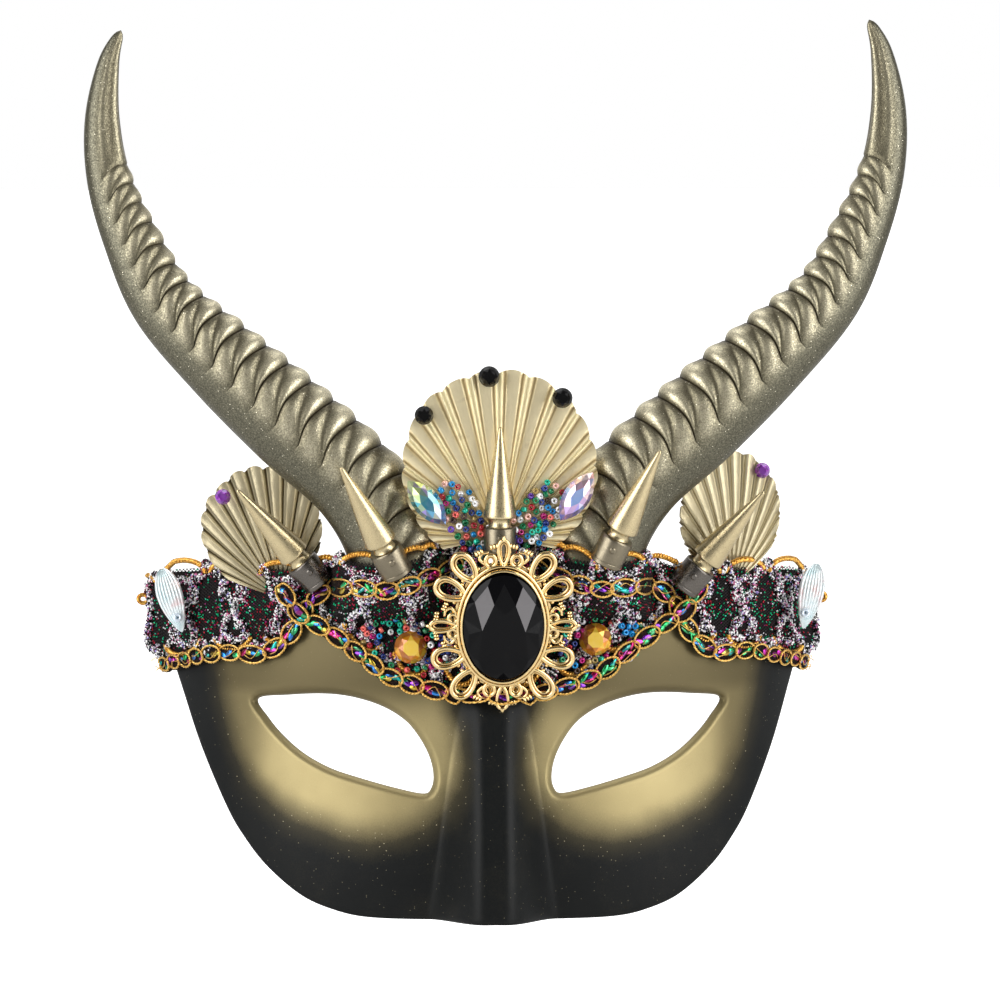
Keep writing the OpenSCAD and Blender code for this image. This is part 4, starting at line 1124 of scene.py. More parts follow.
def amberTint(normals, centres):
    tints = perFacet(stoneColours["amber"], 11)(normals, centres)
    # painted highlight: the flat table facet gets the brightest amber
    tints[normals[:, 2] > 0.98] = stoneColours["amberTable"]
    return tints


def auroraTint(palette, seed):
    # the rainbow coat runs from one end of the stone to the other, and each facet strays a little from it
    def chosen(normals, centres):
        stray = perFacet(palette[3:], seed)(normals, centres)
        share = centres[:, 0:1] / 16 + 0.5
        first, middle, last = [np.array(c) for c in palette[:3]]
        run = np.where(share < 0.5, lerp(first, middle, share * 2), lerp(middle, last, share * 2 - 1))
        return np.clip(0.45 * run + 0.55 * stray, 0, 1)
    return chosen


amberGlass = gemFinish("amberGlass", (1, 0.6, 0.05), 0.12, 0.4, 1.6, True, 0.4)
purpleGlass = gemFinish("purpleGlass", (0.3, 0.02, 0.5), 0.08, 0.3, 1.7, True, 0.6)
auroraGlass = gemFinish("auroraGlass", (0.6, 0.6, 0.7), 0.06, 0.6, 1.7, True, 0.4)
for sideName, palette, turn in (("left", "leftAurora", -49), ("right", "rightAurora", 56)):
    seatedGem("amber_stone_" + sideName, "amber_stone_" + sideName + "_cut", roundGem(9, 3.4, 8), amberTint,
              amberGlass)
    seatedGem("purple_stone_" + sideName, "purple_stone_" + sideName + "_cut", roundGem(4.3, 2.4, 7),
              perFacet(stoneColours["purple"], 4), purpleGlass)
    seatedGem("marquise_" + sideName, "marquise_" + sideName + "_cut", lensGem(16, 7.4, 3.6),
              auroraTint(stoneColours[palette], 21), auroraGlass, turn)
for key, d in (("left", 5.2), ("top", 5.8), ("right", 5.6)):
    node = "rhinestone_" + key
    low, high = nodeBox(node)
    seatedGem(node, node + "_cut", roundGem(d, (high - low)[1], 8), lambda n, c: np.full((len(n), 3), 0.004),
              blackGlass)
print("small stones made")


# braid, lace and their cords
braidSizes = {"wide": 2.25, "endWide": 1.9, "cord": 0.21, "cell": 6.2, "back": 3.3, "lowerBack": 4.7}
laceSizes = {"net": 0.95, "thread": 0.13, "arch": 13.2, "chenille": 0.66, "chips": 21, "back": 1.62,
             "cord": 0.47, "sparkles": 0.8, "sideCut": (26, 70, 1500), "centreCut": (47, 55, 1650)}
upperRoute = [[-88, 5], [-79, 8.6], [-70.5, 10.8], [-61.5, 11], [-56.5, 13.8], [-53, 17.8], [-50.4, 22.5],
              [-47.7, 27], [-42.5, 30.2], [-35.6, 31], [-27.5, 30.8], [-17.5, 33.8], [-8, 37]]
lowerHalf = [[-56, 30.5], [-54, 27.5], [-50.4, 22.5], [-45.5, 19.6], [-39.8, 15.8], [-33.4, 11.2], [-27, 6.6],
             [-15, 2.8]]
laceEdges = {
    "side": ([[48, 24], [53, 17], [58, 13], [62, 11], [70, 10.5], [80, 8.5], [88, 5.5], [92, 8]],
             [[48, 36], [60, 36], [75, 35], [85, 33.5], [92, 29]], 49.5, 92.2),
    "centre": ([[2, 1.0], [15, 3], [27, 7], [33, 11.5], [40, 16], [46, 20], [50, 23]],
               [[2, 48], [14, 48], [19, 41], [30, 39], [42, 39.5], [50, 36]], 2, 50.5)}
foilTints = [(0.02, 0.3, 0.95), (0.0, 0.5, 0.12), (0.85, 0.01, 0.25), (0.25, 0.03, 0.6), (0.0, 0.45, 0.4),
             (0.7, 0.5, 0.04), (0.03, 0.6, 0.2), (0.7, 0.03, 0.5), (0.25, 0.03, 0.02)]


def mirrorRoute(route):
    return [[-x, z] for x, z in route]


def overFeet(p, gap):
    # the trim lies over the feet of the horns and of the small scallops
    reach = np.sqrt(np.clip(1 - ((abs(p[..., 0]) - 27.2) / 16.8) ** 2, 0, 1))
    front = np.where(reach > 0, np.minimum(p[..., 1], lerp(9.0, -8.8, reach) - gap), p[..., 1])
    scallopAt = np.where(p[..., 0] < 0, 57.3, 67.3)
    front = front - 6.5 * np.exp(-((abs(p[..., 0]) - scallopAt) / 10) ** 2)
    return np.stack([p[..., 0], lerp(p[..., 1], front, smooth((p[..., 2] - 19) / 10)), p[..., 2]], -1)


def onRoute(route, along, sideways, off):
    # a point beside a flat route on the shell, which may run a little past the shell's own edge
    flat = np.stack([np.interp(along, route[2], route[0][:, k]) for k in (0, 1)], -1)
    normal = np.stack([np.interp(along, route[2], route[1][:, k]) for k in (0, 1)], -1)
    q = flat + np.asarray(sideways)[..., None] * unit(normal)
    p = onShell(np.clip(q[..., 0], -93, 93), q[..., 1], np.broadcast_to(off, q.shape[:-1]))
    return overFeet(p, np.broadcast_to(off, q.shape[:-1]) - 1.5)


def routeOf(points):
    flat = evenly(points, 0.4)
    d = unit(np.gradient(flat, axis=0))
    return flat, np.stack([-d[:, 1], d[:, 0]], 1), lengthAlong(flat)


def twisted(path, radius, pitch=1.7, sides=7, tint=(1, 1, 1), finish=0):
    # two plies laid round each other
    s = lengthAlong(path)
    side, top = frames(path)[1:]
    parts = []
    for phase in (0, math.pi):
        a = (s / pitch * 2 * math.pi + phase)[:, None]
        strand = path + radius * 0.85 * (np.cos(a) * side + np.sin(a) * top)
        parts.append(tube(strand, radius, sides, False, tint, finish))
    return parts


def cellEdges(length, cell, tight):
    # lengths at which the braid's cords cross: close at the tight ends, wide apart elsewhere
    edges = [0.0]
    while edges[-1] < length:
        s = edges[-1]
        near = 0.0
        if "start" in tight:
            near = max(near, 1 - s / 26)
        if "end" in tight:
            near = max(near, 1 - (length - s) / 26)
        edges.append(s + lerp(cell, cell * 0.46, smooth(max(near, 0))) * dice.uniform(0.9, 1.12))
    return np.array(edges) * length / edges[-1]


def foilPatch(centre, along, across, normal, long, wide, tint):
    # a small curved lens of metallic foil
    u, v = np.meshgrid(np.linspace(-1, 1, 7), np.linspace(-1, 1, 4), indexing="ij")
    width = np.sqrt(np.clip(1 - (0.97 * u) ** 2, 0, 1))
    lift = 0.28 * (1 - u * u) * (1 - v * v)
    grid = (centre + (u * long / 2)[..., None] * along + (v * width * wide / 2)[..., None] * across
            + lift[..., None] * normal)
    under = grid - 0.14 * normal
    n = u.size
    rows, cols = u.shape
    i = np.arange(rows - 1)
    faces = [gridFaces(rows, cols), gridFaces(rows, cols)[:, ::-1] + n,
             np.stack([(i + 1) * cols, i * cols, n + i * cols, n + (i + 1) * cols], 1)[:, ::-1],
             np.stack([i * cols, (i + 1) * cols, n + (i + 1) * cols, n + i * cols], 1)[:, ::-1] + cols - 1]
    return part(np.vstack([grid.reshape(-1, 3), under.reshape(-1, 3)]), np.vstack(faces), tint, 1)


def braidShape(points, back, tight):
    s = braidSizes
    route = routeOf(points)
    length = route[2][-1]
    edges = cellEdges(length, s["cell"], tight)
    parts = []
    # a chain of oval rings of two-ply cord, each lying over the one before
    t = np.linspace(0, 2 * math.pi, 97)[:-1]
    for first, last in zip(edges[:-1], edges[1:]):
        size = last - first
        wide = lerp(s["endWide"], s["wide"], smooth((size - 2.5) / 3)) * dice.uniform(0.92, 1.06)
        ahead = np.clip((first + last) / 2 + 0.57 * size * np.cos(t), 0, length)
        sideways = wide * np.sin(t) + dice.uniform(-0.15, 0.15)
        path = onRoute(route, ahead, sideways, back + 0.6 + 0.3 * np.cos(t))
        side, top = frames(path)[1:]
        ply = t[:, None] * max(6, round(5.2 * (0.57 * size + wide) / 2 / 1.15))
        for turn in (0, math.pi):
            strand = path + 0.8 * s["cord"] * (np.cos(ply + turn) * side + np.sin(ply + turn) * top)
            parts.append(tube(strand, s["cord"], 6, True, (1, 1, 1), 0))
    # dark gauze under the cords
    rows = np.arange(0, length, 0.8)
    across = np.linspace(-1, 1, 7)
    wide = s["wide"] * (0.8 + 0.2 * np.abs(np.sin(np.interp(rows, edges, np.arange(len(edges))) * math.pi)))
    top = np.stack([onRoute(route, rows, a * wide, back + 0.22) for a in across], 1)
    under = np.stack([onRoute(route, rows, a * wide, back) for a in across], 1)
    parts.append(slab(top, under, (0.03, 0.02, 0.02), 2))
    for first, last in zip(edges[:-1], edges[1:]):
        size = last - first
        count = 5 if size > 5.5 else 3
        for k in range(count):
            t = (k + 0.5) / count + dice.uniform(-0.1, 0.1)
            at = lerp(first, last, np.clip(t, 0.15, 0.85))
            off = dice.uniform(-0.85, 0.85)
            c = onRoute(route, at, off, back + 0.42)
            before, after = [onRoute(route, np.clip(at + step, 0, length), off, back + 0.42)
                             for step in (-0.5, 0.5)]
            ahead = unit(after - before)
            normal = outward(c[0], c[2])
            beside = np.cross(normal, ahead)
            lean = dice.uniform(-0.7, 0.7)
            ahead2 = unit(math.cos(lean) * ahead + math.sin(lean) * beside)
            tilt = unit(normal + dice.normal(size=3) * 0.28)
            beside2 = unit(np.cross(tilt, ahead2))
            long = dice.uniform(0.3, 0.48) * size + 0.5
            tint = np.array(foilTints[dice.integers(len(foilTints))]) * dice.uniform(0.3, 0.85)
            parts.append(foilPatch(c, ahead2, beside2, tilt, long, dice.uniform(1.2, 2.0), tint))
        # a fine loose thread across the cell
        a = onRoute(route, first + size * 0.2, dice.uniform(-1.6, 1.6), back + 0.62)
        b = onRoute(route, first + size * 0.5, dice.uniform(-1.2, 1.2), back + 0.85)
        c = onRoute(route, first + size * 0.85, dice.uniform(-1.6, 1.6), back + 0.62)
        parts.append(tube(curveThrough([a, b, c], 9), 0.12, 5, False, (1, 1, 1), 0))
    # frayed ends
    for at in ([0.0] if "start" in tight else []) + ([length] if "end" in tight else []):
        for k in range(5):
            way = -1 if at == 0 else 1
            p = onRoute(route, at, dice.uniform(-2, 2), back + 0.5)
            d = unit(onRoute(route, at, 0, back) - onRoute(route, at - way * 2, 0, back))
            reach = dice.uniform(1.0, 3.2)
            bends = [p, p + d * reach * 0.4 + dice.normal(size=3) * 0.3,
                     p + d * reach + dice.normal(size=3) * 0.7]
            parts.append(tube(curveThrough(bends, 12), 0.13, 5, False, (1, 1, 1), 0))
    return joined(parts)


def slab(top, under, tint=(1, 1, 1), finish=0):
    # closed thin solid between two grids of points
    m, n = top.shape[:2]
    size = m * n
    i, j = np.arange(m - 1), np.arange(n - 1)
    faces = [gridFaces(m, n), gridFaces(m, n)[:, ::-1] + size,
             np.stack([(i + 1) * n, i * n, size + i * n, size + (i + 1) * n], 1)[:, ::-1],
             np.stack([i * n, (i + 1) * n, size + (i + 1) * n, size + i * n], 1)[:, ::-1] + n - 1,
             np.stack([j, j + 1, size + j + 1, size + j], 1)[:, ::-1],
             np.stack([j + 1, j, size + j, size + j + 1], 1)[:, ::-1] + (m - 1) * n]
    return part(np.vstack([top.reshape(-1, 3), under.reshape(-1, 3)]), np.vstack(faces), tint, finish)


def metallicThread(name, bright, dark, scale):
    made, tree, shader = newFinish(name, bright, 0.3, 0.85)
    fine = noise(tree, scale, 3, 0.7)
    base = mixed(tree, ramp(tree, fine, [(0.38, grey(0)), (0.58, grey(1))]), dark, bright)
    tree.links.new(base, shader.inputs["Base Color"])
    bumped(tree, shader, fine, 0.1, 0.9)
    return made


def foilFinish():
    made, tree, shader = newFinish("colourFoil", (0.2, 0.4, 0.8), 0.16, 0.9, Coat_Weight=0.6)
    shader.inputs["Coat Roughness"].default_value = 0.06
    crease = noise(tree, 1300, 3, 0.6)
    base = mixed(tree, ramp(tree, crease, [(0.55, grey(0)), (0.8, grey(0.35))]),
                 attribute(tree, "tint", "Color"), (1, 0.95, 0.9))
    tree.links.new(base, shader.inputs["Base Color"])
    bumped(tree, shader, crease, 0.12, 0.9)
    return made


def gauzeFinish():
    made, tree, shader = newFinish("darkGauze", (0.02, 0.014, 0.012), 0.85, Specular_IOR_Level=0.1)
    fine = noise(tree, 1600, 3, 0.7)
    worn = ramp(tree, fine, [(0.5, grey(0)), (0.75, grey(1))])
    base = mixed(tree, worn, (0.006, 0.005, 0.005), (0.07, 0.03, 0.016))
    tree.links.new(base, shader.inputs["Base Color"])
    bumped(tree, shader, fine, 0.15, 0.9)
    return made


braidCord = metallicThread("orangeGoldCord", (1.0, 0.66, 0.2), (0.5, 0.25, 0.04), 1500)
foil = foilFinish()
gauze = gauzeFinish()
lowerRoute = lowerHalf + [[1.5, 0.2]] + mirrorRoute(lowerHalf)[::-1]
for node, points, back, tight in (
        ("braid_upper_left", upperRoute, braidSizes["back"], ("start",)),
        ("braid_upper_right", mirrorRoute(upperRoute), braidSizes["back"], ("start",)),
        ("braid_lower", lowerRoute, braidSizes["lowerBack"], ())):
    addPiece(node + "_cords", braidShape(points, back, tight), [braidCord, foil, gauze], [node])
print("braids made")


def laceEdge(kind, x, top):
    table = np.array(laceEdges[kind][1 if top else 0], float)
    return np.interp(abs(x), table[:, 0], table[:, 1])


def laceSurface(kind, side, u, v, off):
    # u runs along the band in millimetres of x, v from its lower to its upper edge
    x = side * u
    z = lerp(laceEdge(kind, x, False), laceEdge(kind, x, True), v)
    # above the shell's own edge the net stands free, level with it
    edgeZ = 30.5 + 0 * z
    over = np.maximum(z - edgeZ, 0)
    p = onShell(x, np.minimum(z, edgeZ), off)
    return overFeet(p + np.stack([0 * over, -0.12 * over, over], -1), off - 1.5)


def chips(path, perMillimetre, reach, tints):
    s = lengthAlong(path)
    count = int(s[-1] * perMillimetre)
    at = dice.uniform(0, s[-1], count)
    c = np.stack([np.interp(at, s, path[:, k]) for k in range(3)], 1)
    away = unit(dice.normal(size=(count, 3)))
    away[:, 1] = -abs(away[:, 1]) * 0.9
    c = c + away * (reach * dice.uniform(0.35, 1.0, count) ** 0.6)[:, None]
    prism = part([[x, y, z] for x in (-1, 1) for y in (-1, 1) for z in (-1, 1)],
                 [[0, 1, 3, 2], [4, 6, 7, 5], [0, 4, 5, 1], [2, 3, 7, 6], [0, 2, 6, 4], [1, 5, 7, 3]],
                 (1, 1, 1), 1)
    sizes = np.stack([dice.uniform(0.15, 0.25, count), dice.uniform(0.15, 0.25, count),
                      dice.uniform(0.26, 0.42, count)], 1)
    chosen = np.array(tints)[dice.integers(len(tints), size=count)]
    return scattered(prism, c, looseTurns(count), sizes, chosen)


silverTints = [(1.0, 1.0, 1.0)] * 9 + [(0.6, 0.55, 0.66)] * 2 + [(0.008, 0.008, 0.008)] * 10 \
    + [(0.7, 0.2, 0.4)] * 2 + [(0.35, 0.3, 0.7), (0.3, 0.02, 0.06)]
netTints = [(0.0, 0.6, 0.25)] * 4 + [(0.6, 0.02, 0.05)] * 4 \
    + [(0.05, 0.8, 0.5), (0.9, 0.85, 0.9), (0.4, 0.02, 0.2)]


def laceShape(kind, side):
    s = laceSizes
    start, stop = laceEdges[kind][2:]
    arch = s["arch"]
    back = s["back"]
    parts = []
    tinsel = []
    # black net: two sets of threads on the slant
    for way in (1, -1):
        for c in np.arange(start - 40, stop + 40, s["net"]):
            v = np.linspace(0, 1, 34)
            u = c + way * 26 * (v - 0.5)
            keep = (u >= start) & (u <= stop)
            if keep.sum() < 3:
                continue
            path = laceSurface(kind, side, u[keep], v[keep] * 0.96, back + 0.32 + 0.07 * way)
            parts.append(tube(path, s["thread"], 4, False, (1, 1, 1), 0))
    # coloured sparkles on the net: loose ones, and bowed rows inside each arch
    count = int((stop - start) * 24 * s["sparkles"])
    u = dice.uniform(start, stop, count)
    v = dice.uniform(0.03, 0.97, count)
    for c in np.arange(start + arch / 2, stop + arch / 2, arch):
        for row in range(6):
            t = np.linspace(0.12, 0.88, 15 - row) * math.pi
            rowU = c - (0.44 - 0.05 * row) * arch * np.cos(t)
            rowV = 0.3 + 0.075 * row + 0.2 * np.sin(t)
            keep = (rowU > start + 0.4) & (rowU < stop - 0.4)
            u = np.concatenate([u, rowU[keep]])
            v = np.concatenate([v, rowV[keep]])
    count = len(u)
    grain = ball(1, 6, (1, 1, 1), 1)
    places = laceSurface(kind, side, u, v, back + 0.55 + 0 * u)
    tint = np.array(netTints)[dice.integers(len(netTints), size=count)]
    tinsel.append(scattered(grain, places, looseTurns(count), dice.uniform(0.16, 0.32, (count, 3)), tint))
    # two chenille waves that cross under each arch
    u = np.arange(start + 0.5, stop - 0.5, 0.25)
    waves = []
    for way in (1, -1):
        shift = 0.06 * np.sin(u * 1.9 + way)
        v = 0.52 + way * 0.45 * np.cos((u - start) / arch * math.pi) + shift
        waves.append((u, v))
    # a short curl inside each crossing
    for n in range(int((stop - start) / arch) + 1):
        c = start + (n + 0.5) * arch
        t = np.linspace(-0.2, 1.25, 46) * math.pi
        if c + 3.4 < stop:
            waves.append((c + 3.2 * np.cos(t), 0.7 + 0.14 * np.sin(t)))
            waves.append((c + 3.0 * np.cos(t + 0.3), 0.28 - 0.13 * np.sin(t)))
    # the band's free end is bound too
    t = np.linspace(0.08, 0.9, 40)
    if kind == "side":
        waves.append((stop - 0.5 + 0.4 * np.sin(t * 9), t))
    for u, v in waves:
        path = laceSurface(kind, side, u, np.clip(v, 0.02, 1.03), back + 0.95 + 0.12 * np.sin(u * 2))
        parts.append(tube(path, s["chenille"], 7, False, (0.03, 0.03, 0.03), 3))
        tinsel.append(chips(path, s["chips"], s["chenille"] + 0.42, silverTints))
    # orange-gold arches above and cups below
    for n in range(int((stop - start) / arch) + 2):
        c = start + n * arch
        t = np.linspace(0.06, 0.94, 150) * math.pi
        for top in (True, False):
            u = c + arch / 2 - arch * (0.46 if top else 0.36) * np.cos(t)
            keep = (u > start + 0.2) & (u < stop - 0.1)
            if keep.sum() < 30:
                continue
            v = (0.87 + 0.18 * np.sin(t)) if top else (0.22 - 0.17 * np.sin(t))
            path = laceSurface(kind, side, u[keep], v[keep], back + 1.15 + 0 * u[keep])
            parts += twisted(path, s["cord"], 1.75, 6, (1, 1, 1), 2)
    if kind == "side":
        t = np.linspace(0, 2 * math.pi, 24)[:-1]
        loop = laceSurface(kind, side, np.full(23, stop - 0.3), 0.7 + 0.055 * np.sin(t),
                           np.full(23, back + 1.3))
        loop[:, 0] += side * 1.3 * (1 + np.cos(t))
        parts.append(tube(loop, 0.62, 8, True, (1, 1, 1), 2))
    return joined(parts), joined(tinsel)


def tulleShape(kind, side):
    start, stop = laceEdges[kind][2:]
    u, v = np.meshgrid(np.linspace(start, stop, 60), np.linspace(0.02, 0.93, 26), indexing="ij")
    top = laceSurface(kind, side, u, v, laceSizes["back"] + 0.2 + 0 * u)
    under = laceSurface(kind, side, u, v, laceSizes["back"] + 0.06 + 0 * u)
    if side < 0:
        top, under = top[::-1], under[::-1]
    return slab(top, under)


def netFinish():
    made, tree, shader = newFinish("blackNet", (0.012, 0.011, 0.012), 0.6, Specular_IOR_Level=0.25)
    fine = noise(tree, 2200, 2)
    base = mixed(tree, fine, (0.004, 0.004, 0.005), (0.02, 0.016, 0.016))
    tree.links.new(base, shader.inputs["Base Color"])
    bumped(tree, shader, fine, 0.06, 0.8)
    return made


def tulleFinish():
    made, tree, shader = newFinish("blackTulle", (0.01, 0.009, 0.01), 0.9, Specular_IOR_Level=0.2)
    inputs = {"Vector": place(tree), "Scale": 700.0, "Distortion": 3.0}
    weave = addNode(tree, "TexWave", inputs).outputs["Fac"]
    cloud = noise(tree, 260, 3)
    base = mixed(tree, weave, (0.003, 0.003, 0.003), (0.014, 0.011, 0.011))
    base = mixed(tree, ramp(tree, cloud, [(0.6, grey(0)), (0.75, grey(0.6))]), base, (0.1, 0.01, 0.015))
    tree.links.new(base, shader.inputs["Base Color"])
    bumped(tree, shader, weave, 0.08, 0.7)
    return made


def glitterFinish():
    made, tree, shader = newFinish("silverTinsel", (0.9, 0.9, 0.95), 0.22, 0.55)
    tree.links.new(attribute(tree, "tint", "Color"), shader.inputs["Base Color"])
    fine = noise(tree, 3000, 2)
    tree.links.new(ramp(tree, fine, [(0.3, grey(0.18)), (0.7, grey(0.34))]), shader.inputs["Roughness"])
    return made


laceCord = metallicThread("laceEdgeCord", (1.0, 0.57, 0.12), (0.36, 0.12, 0.008), 1300)
net, tulle, glitter = netFinish(), tulleFinish(), glitterFinish()
for node, kind, side in (("lace_left", "side", -1), ("lace_right", "side", 1),
                         ("lace_centre_left", "centre", -1), ("lace_centre_right", "centre", 1)):
    worked, tinsel = laceShape(kind, side)
    addPiece(node + "_work", worked, [net, glitter, laceCord, net], [node])
    addPiece(node + "_tinsel", tinsel, [net, glitter])
    ground = addPiece(node + "_tulle", tulleShape(kind, side), [tulle])
print("lace made")


# seed beads, drop sequins
beadSizes = {"wide": 1.85, "hole": 0.3, "apart": 1.62, "tries": 2600}
beadTints = [(0.0, 0.25, 0.6)] * 4 + [(0.0, 0.2, 0.07)] * 4 + [(0.0, 0.45, 0.3)] * 3 \
    + [(0.9, 0.9, 0.92)] * 3 + [(0.35, 0.0, 0.01)] * 3 + [(0.85, 0.15, 0.12)] * 2 \
    + [(0.5, 0.005, 0.18)] * 2 + [(0.01, 0.03, 0.2)] * 3 \
    + [(0.12, 0.04, 0.35), (0.4, 0.28, 0.08), (0.06, 0.03, 0.02), (0.85, 0.5, 0.42)]
beadFields = {
    "crest_left": {"at": (-8.2, 50.5), "half": (5.6, 11.5), "turn": 30, "skip": 0, "y": -9.2},
    "crest_right": {"at": (11.4, 50.5), "half": (5.6, 11.5), "turn": -30, "skip": 0, "y": -9.2},
    "amber_left": {"at": (-23.5, 13.8), "half": (12.5, 8.2), "turn": -15, "skip": 0.3, "y": None},
    "amber_right": {"at": (28.8, 15.8), "half": (12.5, 8.2), "turn": 15, "skip": 0.3, "y": None}}


def beadShape():
    t = np.linspace(0, 2 * math.pi, 13)[:-1]
    hole = beadSizes["hole"]
    r = (1 + hole) / 2 + (1 - hole) / 2 * np.sign(np.cos(t)) * np.abs(np.cos(t)) ** 0.7
    z = 0.66 * np.sign(np.sin(t)) * np.abs(np.sin(t)) ** 0.7
    a = np.arange(16) / 16 * 2 * math.pi
    points = np.stack([r[:, None] * np.cos(a), r[:, None] * np.sin(a), z[:, None] + 0 * a], -1)
    return part(points, gridFaces(len(t), 16, True, True)[:, ::-1])


def beadPlaces(field):
    w, h = field["half"]
    c, s = math.cos(math.radians(field["turn"])), math.sin(math.radians(field["turn"]))
    found = []
    for _ in range(beadSizes["tries"]):
        x, z = dice.uniform(-w, w), dice.uniform(-h, h)
        q = (x / w) ** 2 + (z / h) ** 2
        if q > 1 or q < field["skip"] or dice.uniform() < 0.25 * q:
            continue
        p = np.array([field["at"][0] + x * c - z * s, field["at"][1] + x * s + z * c])
        if all(np.hypot(*(p - other)) > beadSizes["apart"] for other in found):
            found.append(p)
    return np.array(found)


def beadGlass():
    made, tree, shader = newFinish("seedBeadGlass", (0.1, 0.3, 0.6), 0.12, 0.3, Coat_Weight=0.35, IOR=1.5)
    shader.inputs["Coat Roughness"].default_value = 0.04
    cloud = noise(tree, 1100, 2)
    pale = ramp(tree, cloud, [(0.55, grey(0)), (0.85, grey(0.15))])
    base = mixed(tree, pale, attribute(tree, "tint", "Color"), (1, 1, 1))
    tree.links.new(base, shader.inputs["Base Color"])
    bumped(tree, shader, cloud, 0.02, 0.4)
    return made


seedGlass = beadGlass()
for key, field in beadFields.items():
    flat = beadPlaces(field)
    count = len(flat)
    if field["y"] is None:
        off = 3.3 + dice.uniform(0, 1.3, count)
        places = onShell(flat[:, 0], flat[:, 1], off)
        normals = outward(flat[:, 0], flat[:, 1])
    else:
        lift = dice.uniform(-0.9, 0.5, count) + 0.045 * (flat[:, 1] - 50)
        places = np.stack([flat[:, 0], field["y"] + lift, flat[:, 1]], 1)
        normals = np.tile([0.0, -1.0, 0.0], (count, 1))
    turns = facing(normals + dice.normal(size=(count, 3)) * 0.55)
    tints = np.array(beadTints)[dice.integers(len(beadTints), size=count)]
    tints = tints * dice.uniform(0.8, 1.1, (count, 1))
    sizes = dice.uniform(0.9, 1.08, (count, 1)) * beadSizes["wide"] / 2 * [1, 1, 1]
    beads = scattered(beadShape(), places, turns, sizes, tints)
    node = "seed_beads_" + key
    addPiece(node + "_loose", beads, [seedGlass], [node])

sequinSizes = {"long": 18.6, "wide": 7.4, "ribs": 8, "thick": 0.4}


def sequinShape(turnDown, yaw):
    s = sequinSizes
    rows, cols = 44, 64
    t = np.linspace(0, 1, rows + 1)[:, None]
    j = np.linspace(-1, 1, cols + 1)[None]
    half = s["wide"] / 2 * np.sin(math.pi * (np.clip(t * 0.985 + 0.01, 0, 1)) ** 0.75) ** 0.7
    ribs = 0.24 * np.abs(np.sin(math.pi * s["ribs"] / 2 * (j + 1)))
    ribs = ribs * np.sin(math.pi * np.clip(t, 0, 1)) ** 0.5
    y = -1.2 * np.sin(math.pi * t) + 0.5 * j * j * np.sin(math.pi * t) - ribs
    scallopEdge = 0.35 * np.abs(np.cos(math.pi * s["ribs"] / 2 * (j + 1))) * (1 - t) ** 6
    front = np.stack([half * j + 0 * t, y, -s["long"] * t - scallopEdge], -1)
    back = front + [0, s["thick"], 0]
    turn = turned("z", yaw) @ turned("y", turnDown)
    return moved(slab(front[:, ::-1], back[:, ::-1]), turn)


def sequinFinish():
    made, tree, shader = newFinish("pearlSequin", (0.75, 0.86, 0.9), 0.12, 0.35, Coat_Weight=1.0)
    shader.inputs["Coat Roughness"].default_value = 0.05
    cloud = noise(tree, 230, 3, 0.6)
    base = ramp(tree, cloud, [(0.25, (0.42, 0.62, 0.66)), (0.42, (0.75, 0.86, 0.88)),
                              (0.55, (0.88, 0.92, 0.93)), (0.66, (0.85, 0.66, 0.66)),
                              (0.8, (0.5, 0.85, 0.75))])
    tree.links.new(base, shader.inputs["Base Color"])
    bumped(tree, shader, noise(tree, 900, 2), 0.03, 0.4)
    return made


sequin = sequinFinish()
for sideName, turnDown, yaw in (("left", -18, -12), ("right", 12, 12)):
    node = "drop_sequin_" + sideName
    shape = sequinShape(turnDown, yaw)
    shape[0] = fitted(shape[0], node) + [1.2 * np.sign(yaw), -1.5, 0]
    addPiece(node + "_ribbed", shape, [sequin], [node], 50)
    node = "sequin_bead_" + sideName
    low, high = nodeBox(node)
    bead = moved(beadShape(), turned("x", 78), (0, 0, 0), (high - low)[0] / 2)
    bead[0] = centred(bead[0], node) + [1.2 * np.sign(yaw), -2, 0]
    bead[2][:] = (0.75, 0.85, 0.95)
    addPiece(node + "_ring", bead, [seedGlass], [node])
print("beads and sequins made")


# floor, light and camera
lightSettings = {"keyPower": 7.5, "keySize": 0.6, "keyAngle": 57, "keyHeight": 0.26, "keyReach": 0.85,
                 "fill": 0.24, "front": 0.1, "topPower": 2.5}


def softBox(name, azimuth, high, reach, size, power, aim):
    data = bpy.data.lights.new(name, "AREA")
    data.shape = "RECTANGLE"
    data.size, data.size_y = size
    data.energy = power
    lamp = bpy.data.objects.new(name, data)
    a = math.radians(azimuth)
    lamp.location = (math.sin(a) * reach, -math.cos(a) * reach, high)
    lamp.rotation_euler = (Vector(aim) - lamp.location).to_track_quat("-Z", "Y").to_euler()
    bpy.context.scene.collection.objects.link(lamp)
    return lamp


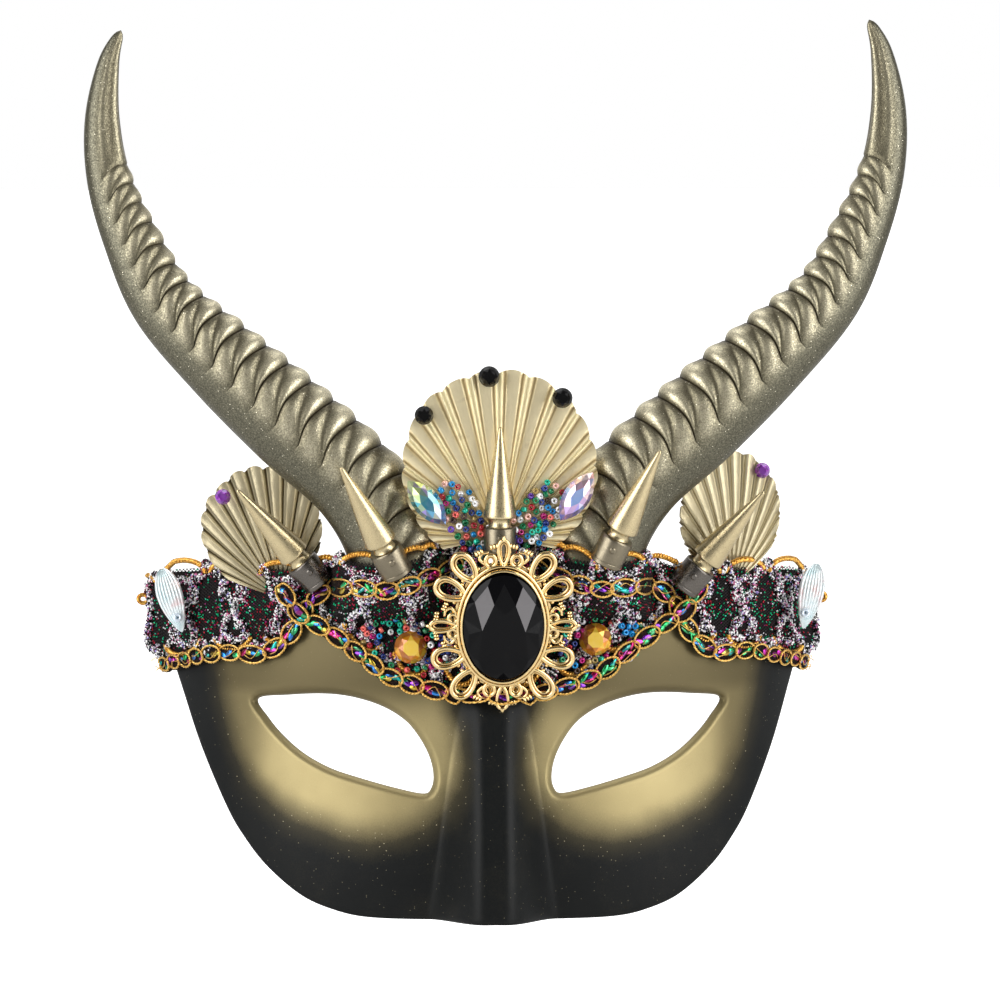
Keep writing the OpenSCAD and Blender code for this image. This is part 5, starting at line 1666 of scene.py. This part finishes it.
def makeStage():
    s = lightSettings
    low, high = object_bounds()
    mid = (low + high) / 2
    floorMesh = bpy.data.meshes.new("floor")
    wide, depth = 6, low.z - 0.012
    corners = [(x * wide, y * wide, depth) for x, y in ((-1, -1), (1, -1), (1, 1), (-1, 1))]
    floorMesh.from_pydata(corners, [], [(0, 1, 2, 3)])
    floor = bpy.data.objects.new("floor", floorMesh)
    bpy.context.scene.collection.objects.link(floor)
    made, tree, shader = newFinish("paleFloor", (0.8, 0.8, 0.8), 0.6, Emission_Strength=0.6)
    shader.inputs["Emission Color"].default_value = (1, 1, 1, 1)
    seen = addNode(tree, "LightPath").outputs["Is Camera Ray"]
    glow = maths(tree, "ADD", maths(tree, "MULTIPLY", seen, 0.9), 0.12)
    tree.links.new(glow, shader.inputs["Emission Strength"])
    floorMesh.materials.append(made)
    for name, way in (("leftBox", -1), ("rightBox", 1)):
        softBox(name, way * s["keyAngle"], mid.z + s["keyHeight"], s["keyReach"],
                (s["keySize"], 0.9), s["keyPower"], mid)
    softBox("topBox", 180, mid.z + 0.9, 0.35, (0.9, 0.5), s["topPower"], mid)
    world = bpy.data.worlds.new("paleRoom")
    bpy.context.scene.world = world
    world.use_nodes = True
    tree = world.node_tree
    background = tree.nodes["Background"]
    way = addNode(tree, "SeparateXYZ", {"Vector": addNode(tree, "TexCoord").outputs["Generated"]})
    room = ramp(tree, maths(tree, "ADD", maths(tree, "MULTIPLY", way.outputs["Y"], 0.5), 0.5),
                [(0.1, grey(s["front"])), (0.6, grey(s["fill"])), (0.95, grey(0.95))])
    seen = addNode(tree, "LightPath").outputs["Is Camera Ray"]
    tree.links.new(mixed(tree, seen, room, grey(1.0)), background.inputs["Color"])
    return mid


# degrees and metres; view is the width that the camera takes in
cameraSettings = {"azimuth": 2.6, "elevation": 4, "reach": 2.5, "view": 0.2755, "aim": (0.00193, 0, 0.0551)}


def makeCamera():
    # looks slightly down, from a little to the left
    s = cameraSettings
    aim = Vector(s["aim"])
    azimuth, elevation, reach = math.radians(s["azimuth"]), math.radians(s["elevation"]), s["reach"]
    way = Vector((math.sin(azimuth) * math.cos(elevation), math.cos(azimuth) * math.cos(elevation),
                  -math.sin(elevation)))
    data = bpy.data.cameras.new("camera")
    data.sensor_width = 36
    data.lens = data.sensor_width * reach / s["view"]
    data.clip_start, data.clip_end = 0.05, 50
    camera = bpy.data.objects.new("camera", data)
    camera.location = aim - way * reach
    camera.rotation_euler = way.to_track_quat("-Z", "Y").to_euler()
    bpy.context.scene.collection.objects.link(camera)
    bpy.context.scene.camera = camera


makeCamera()
makeStage()
bpy.context.scene.view_settings.view_transform = "Standard"
print("stage ready")
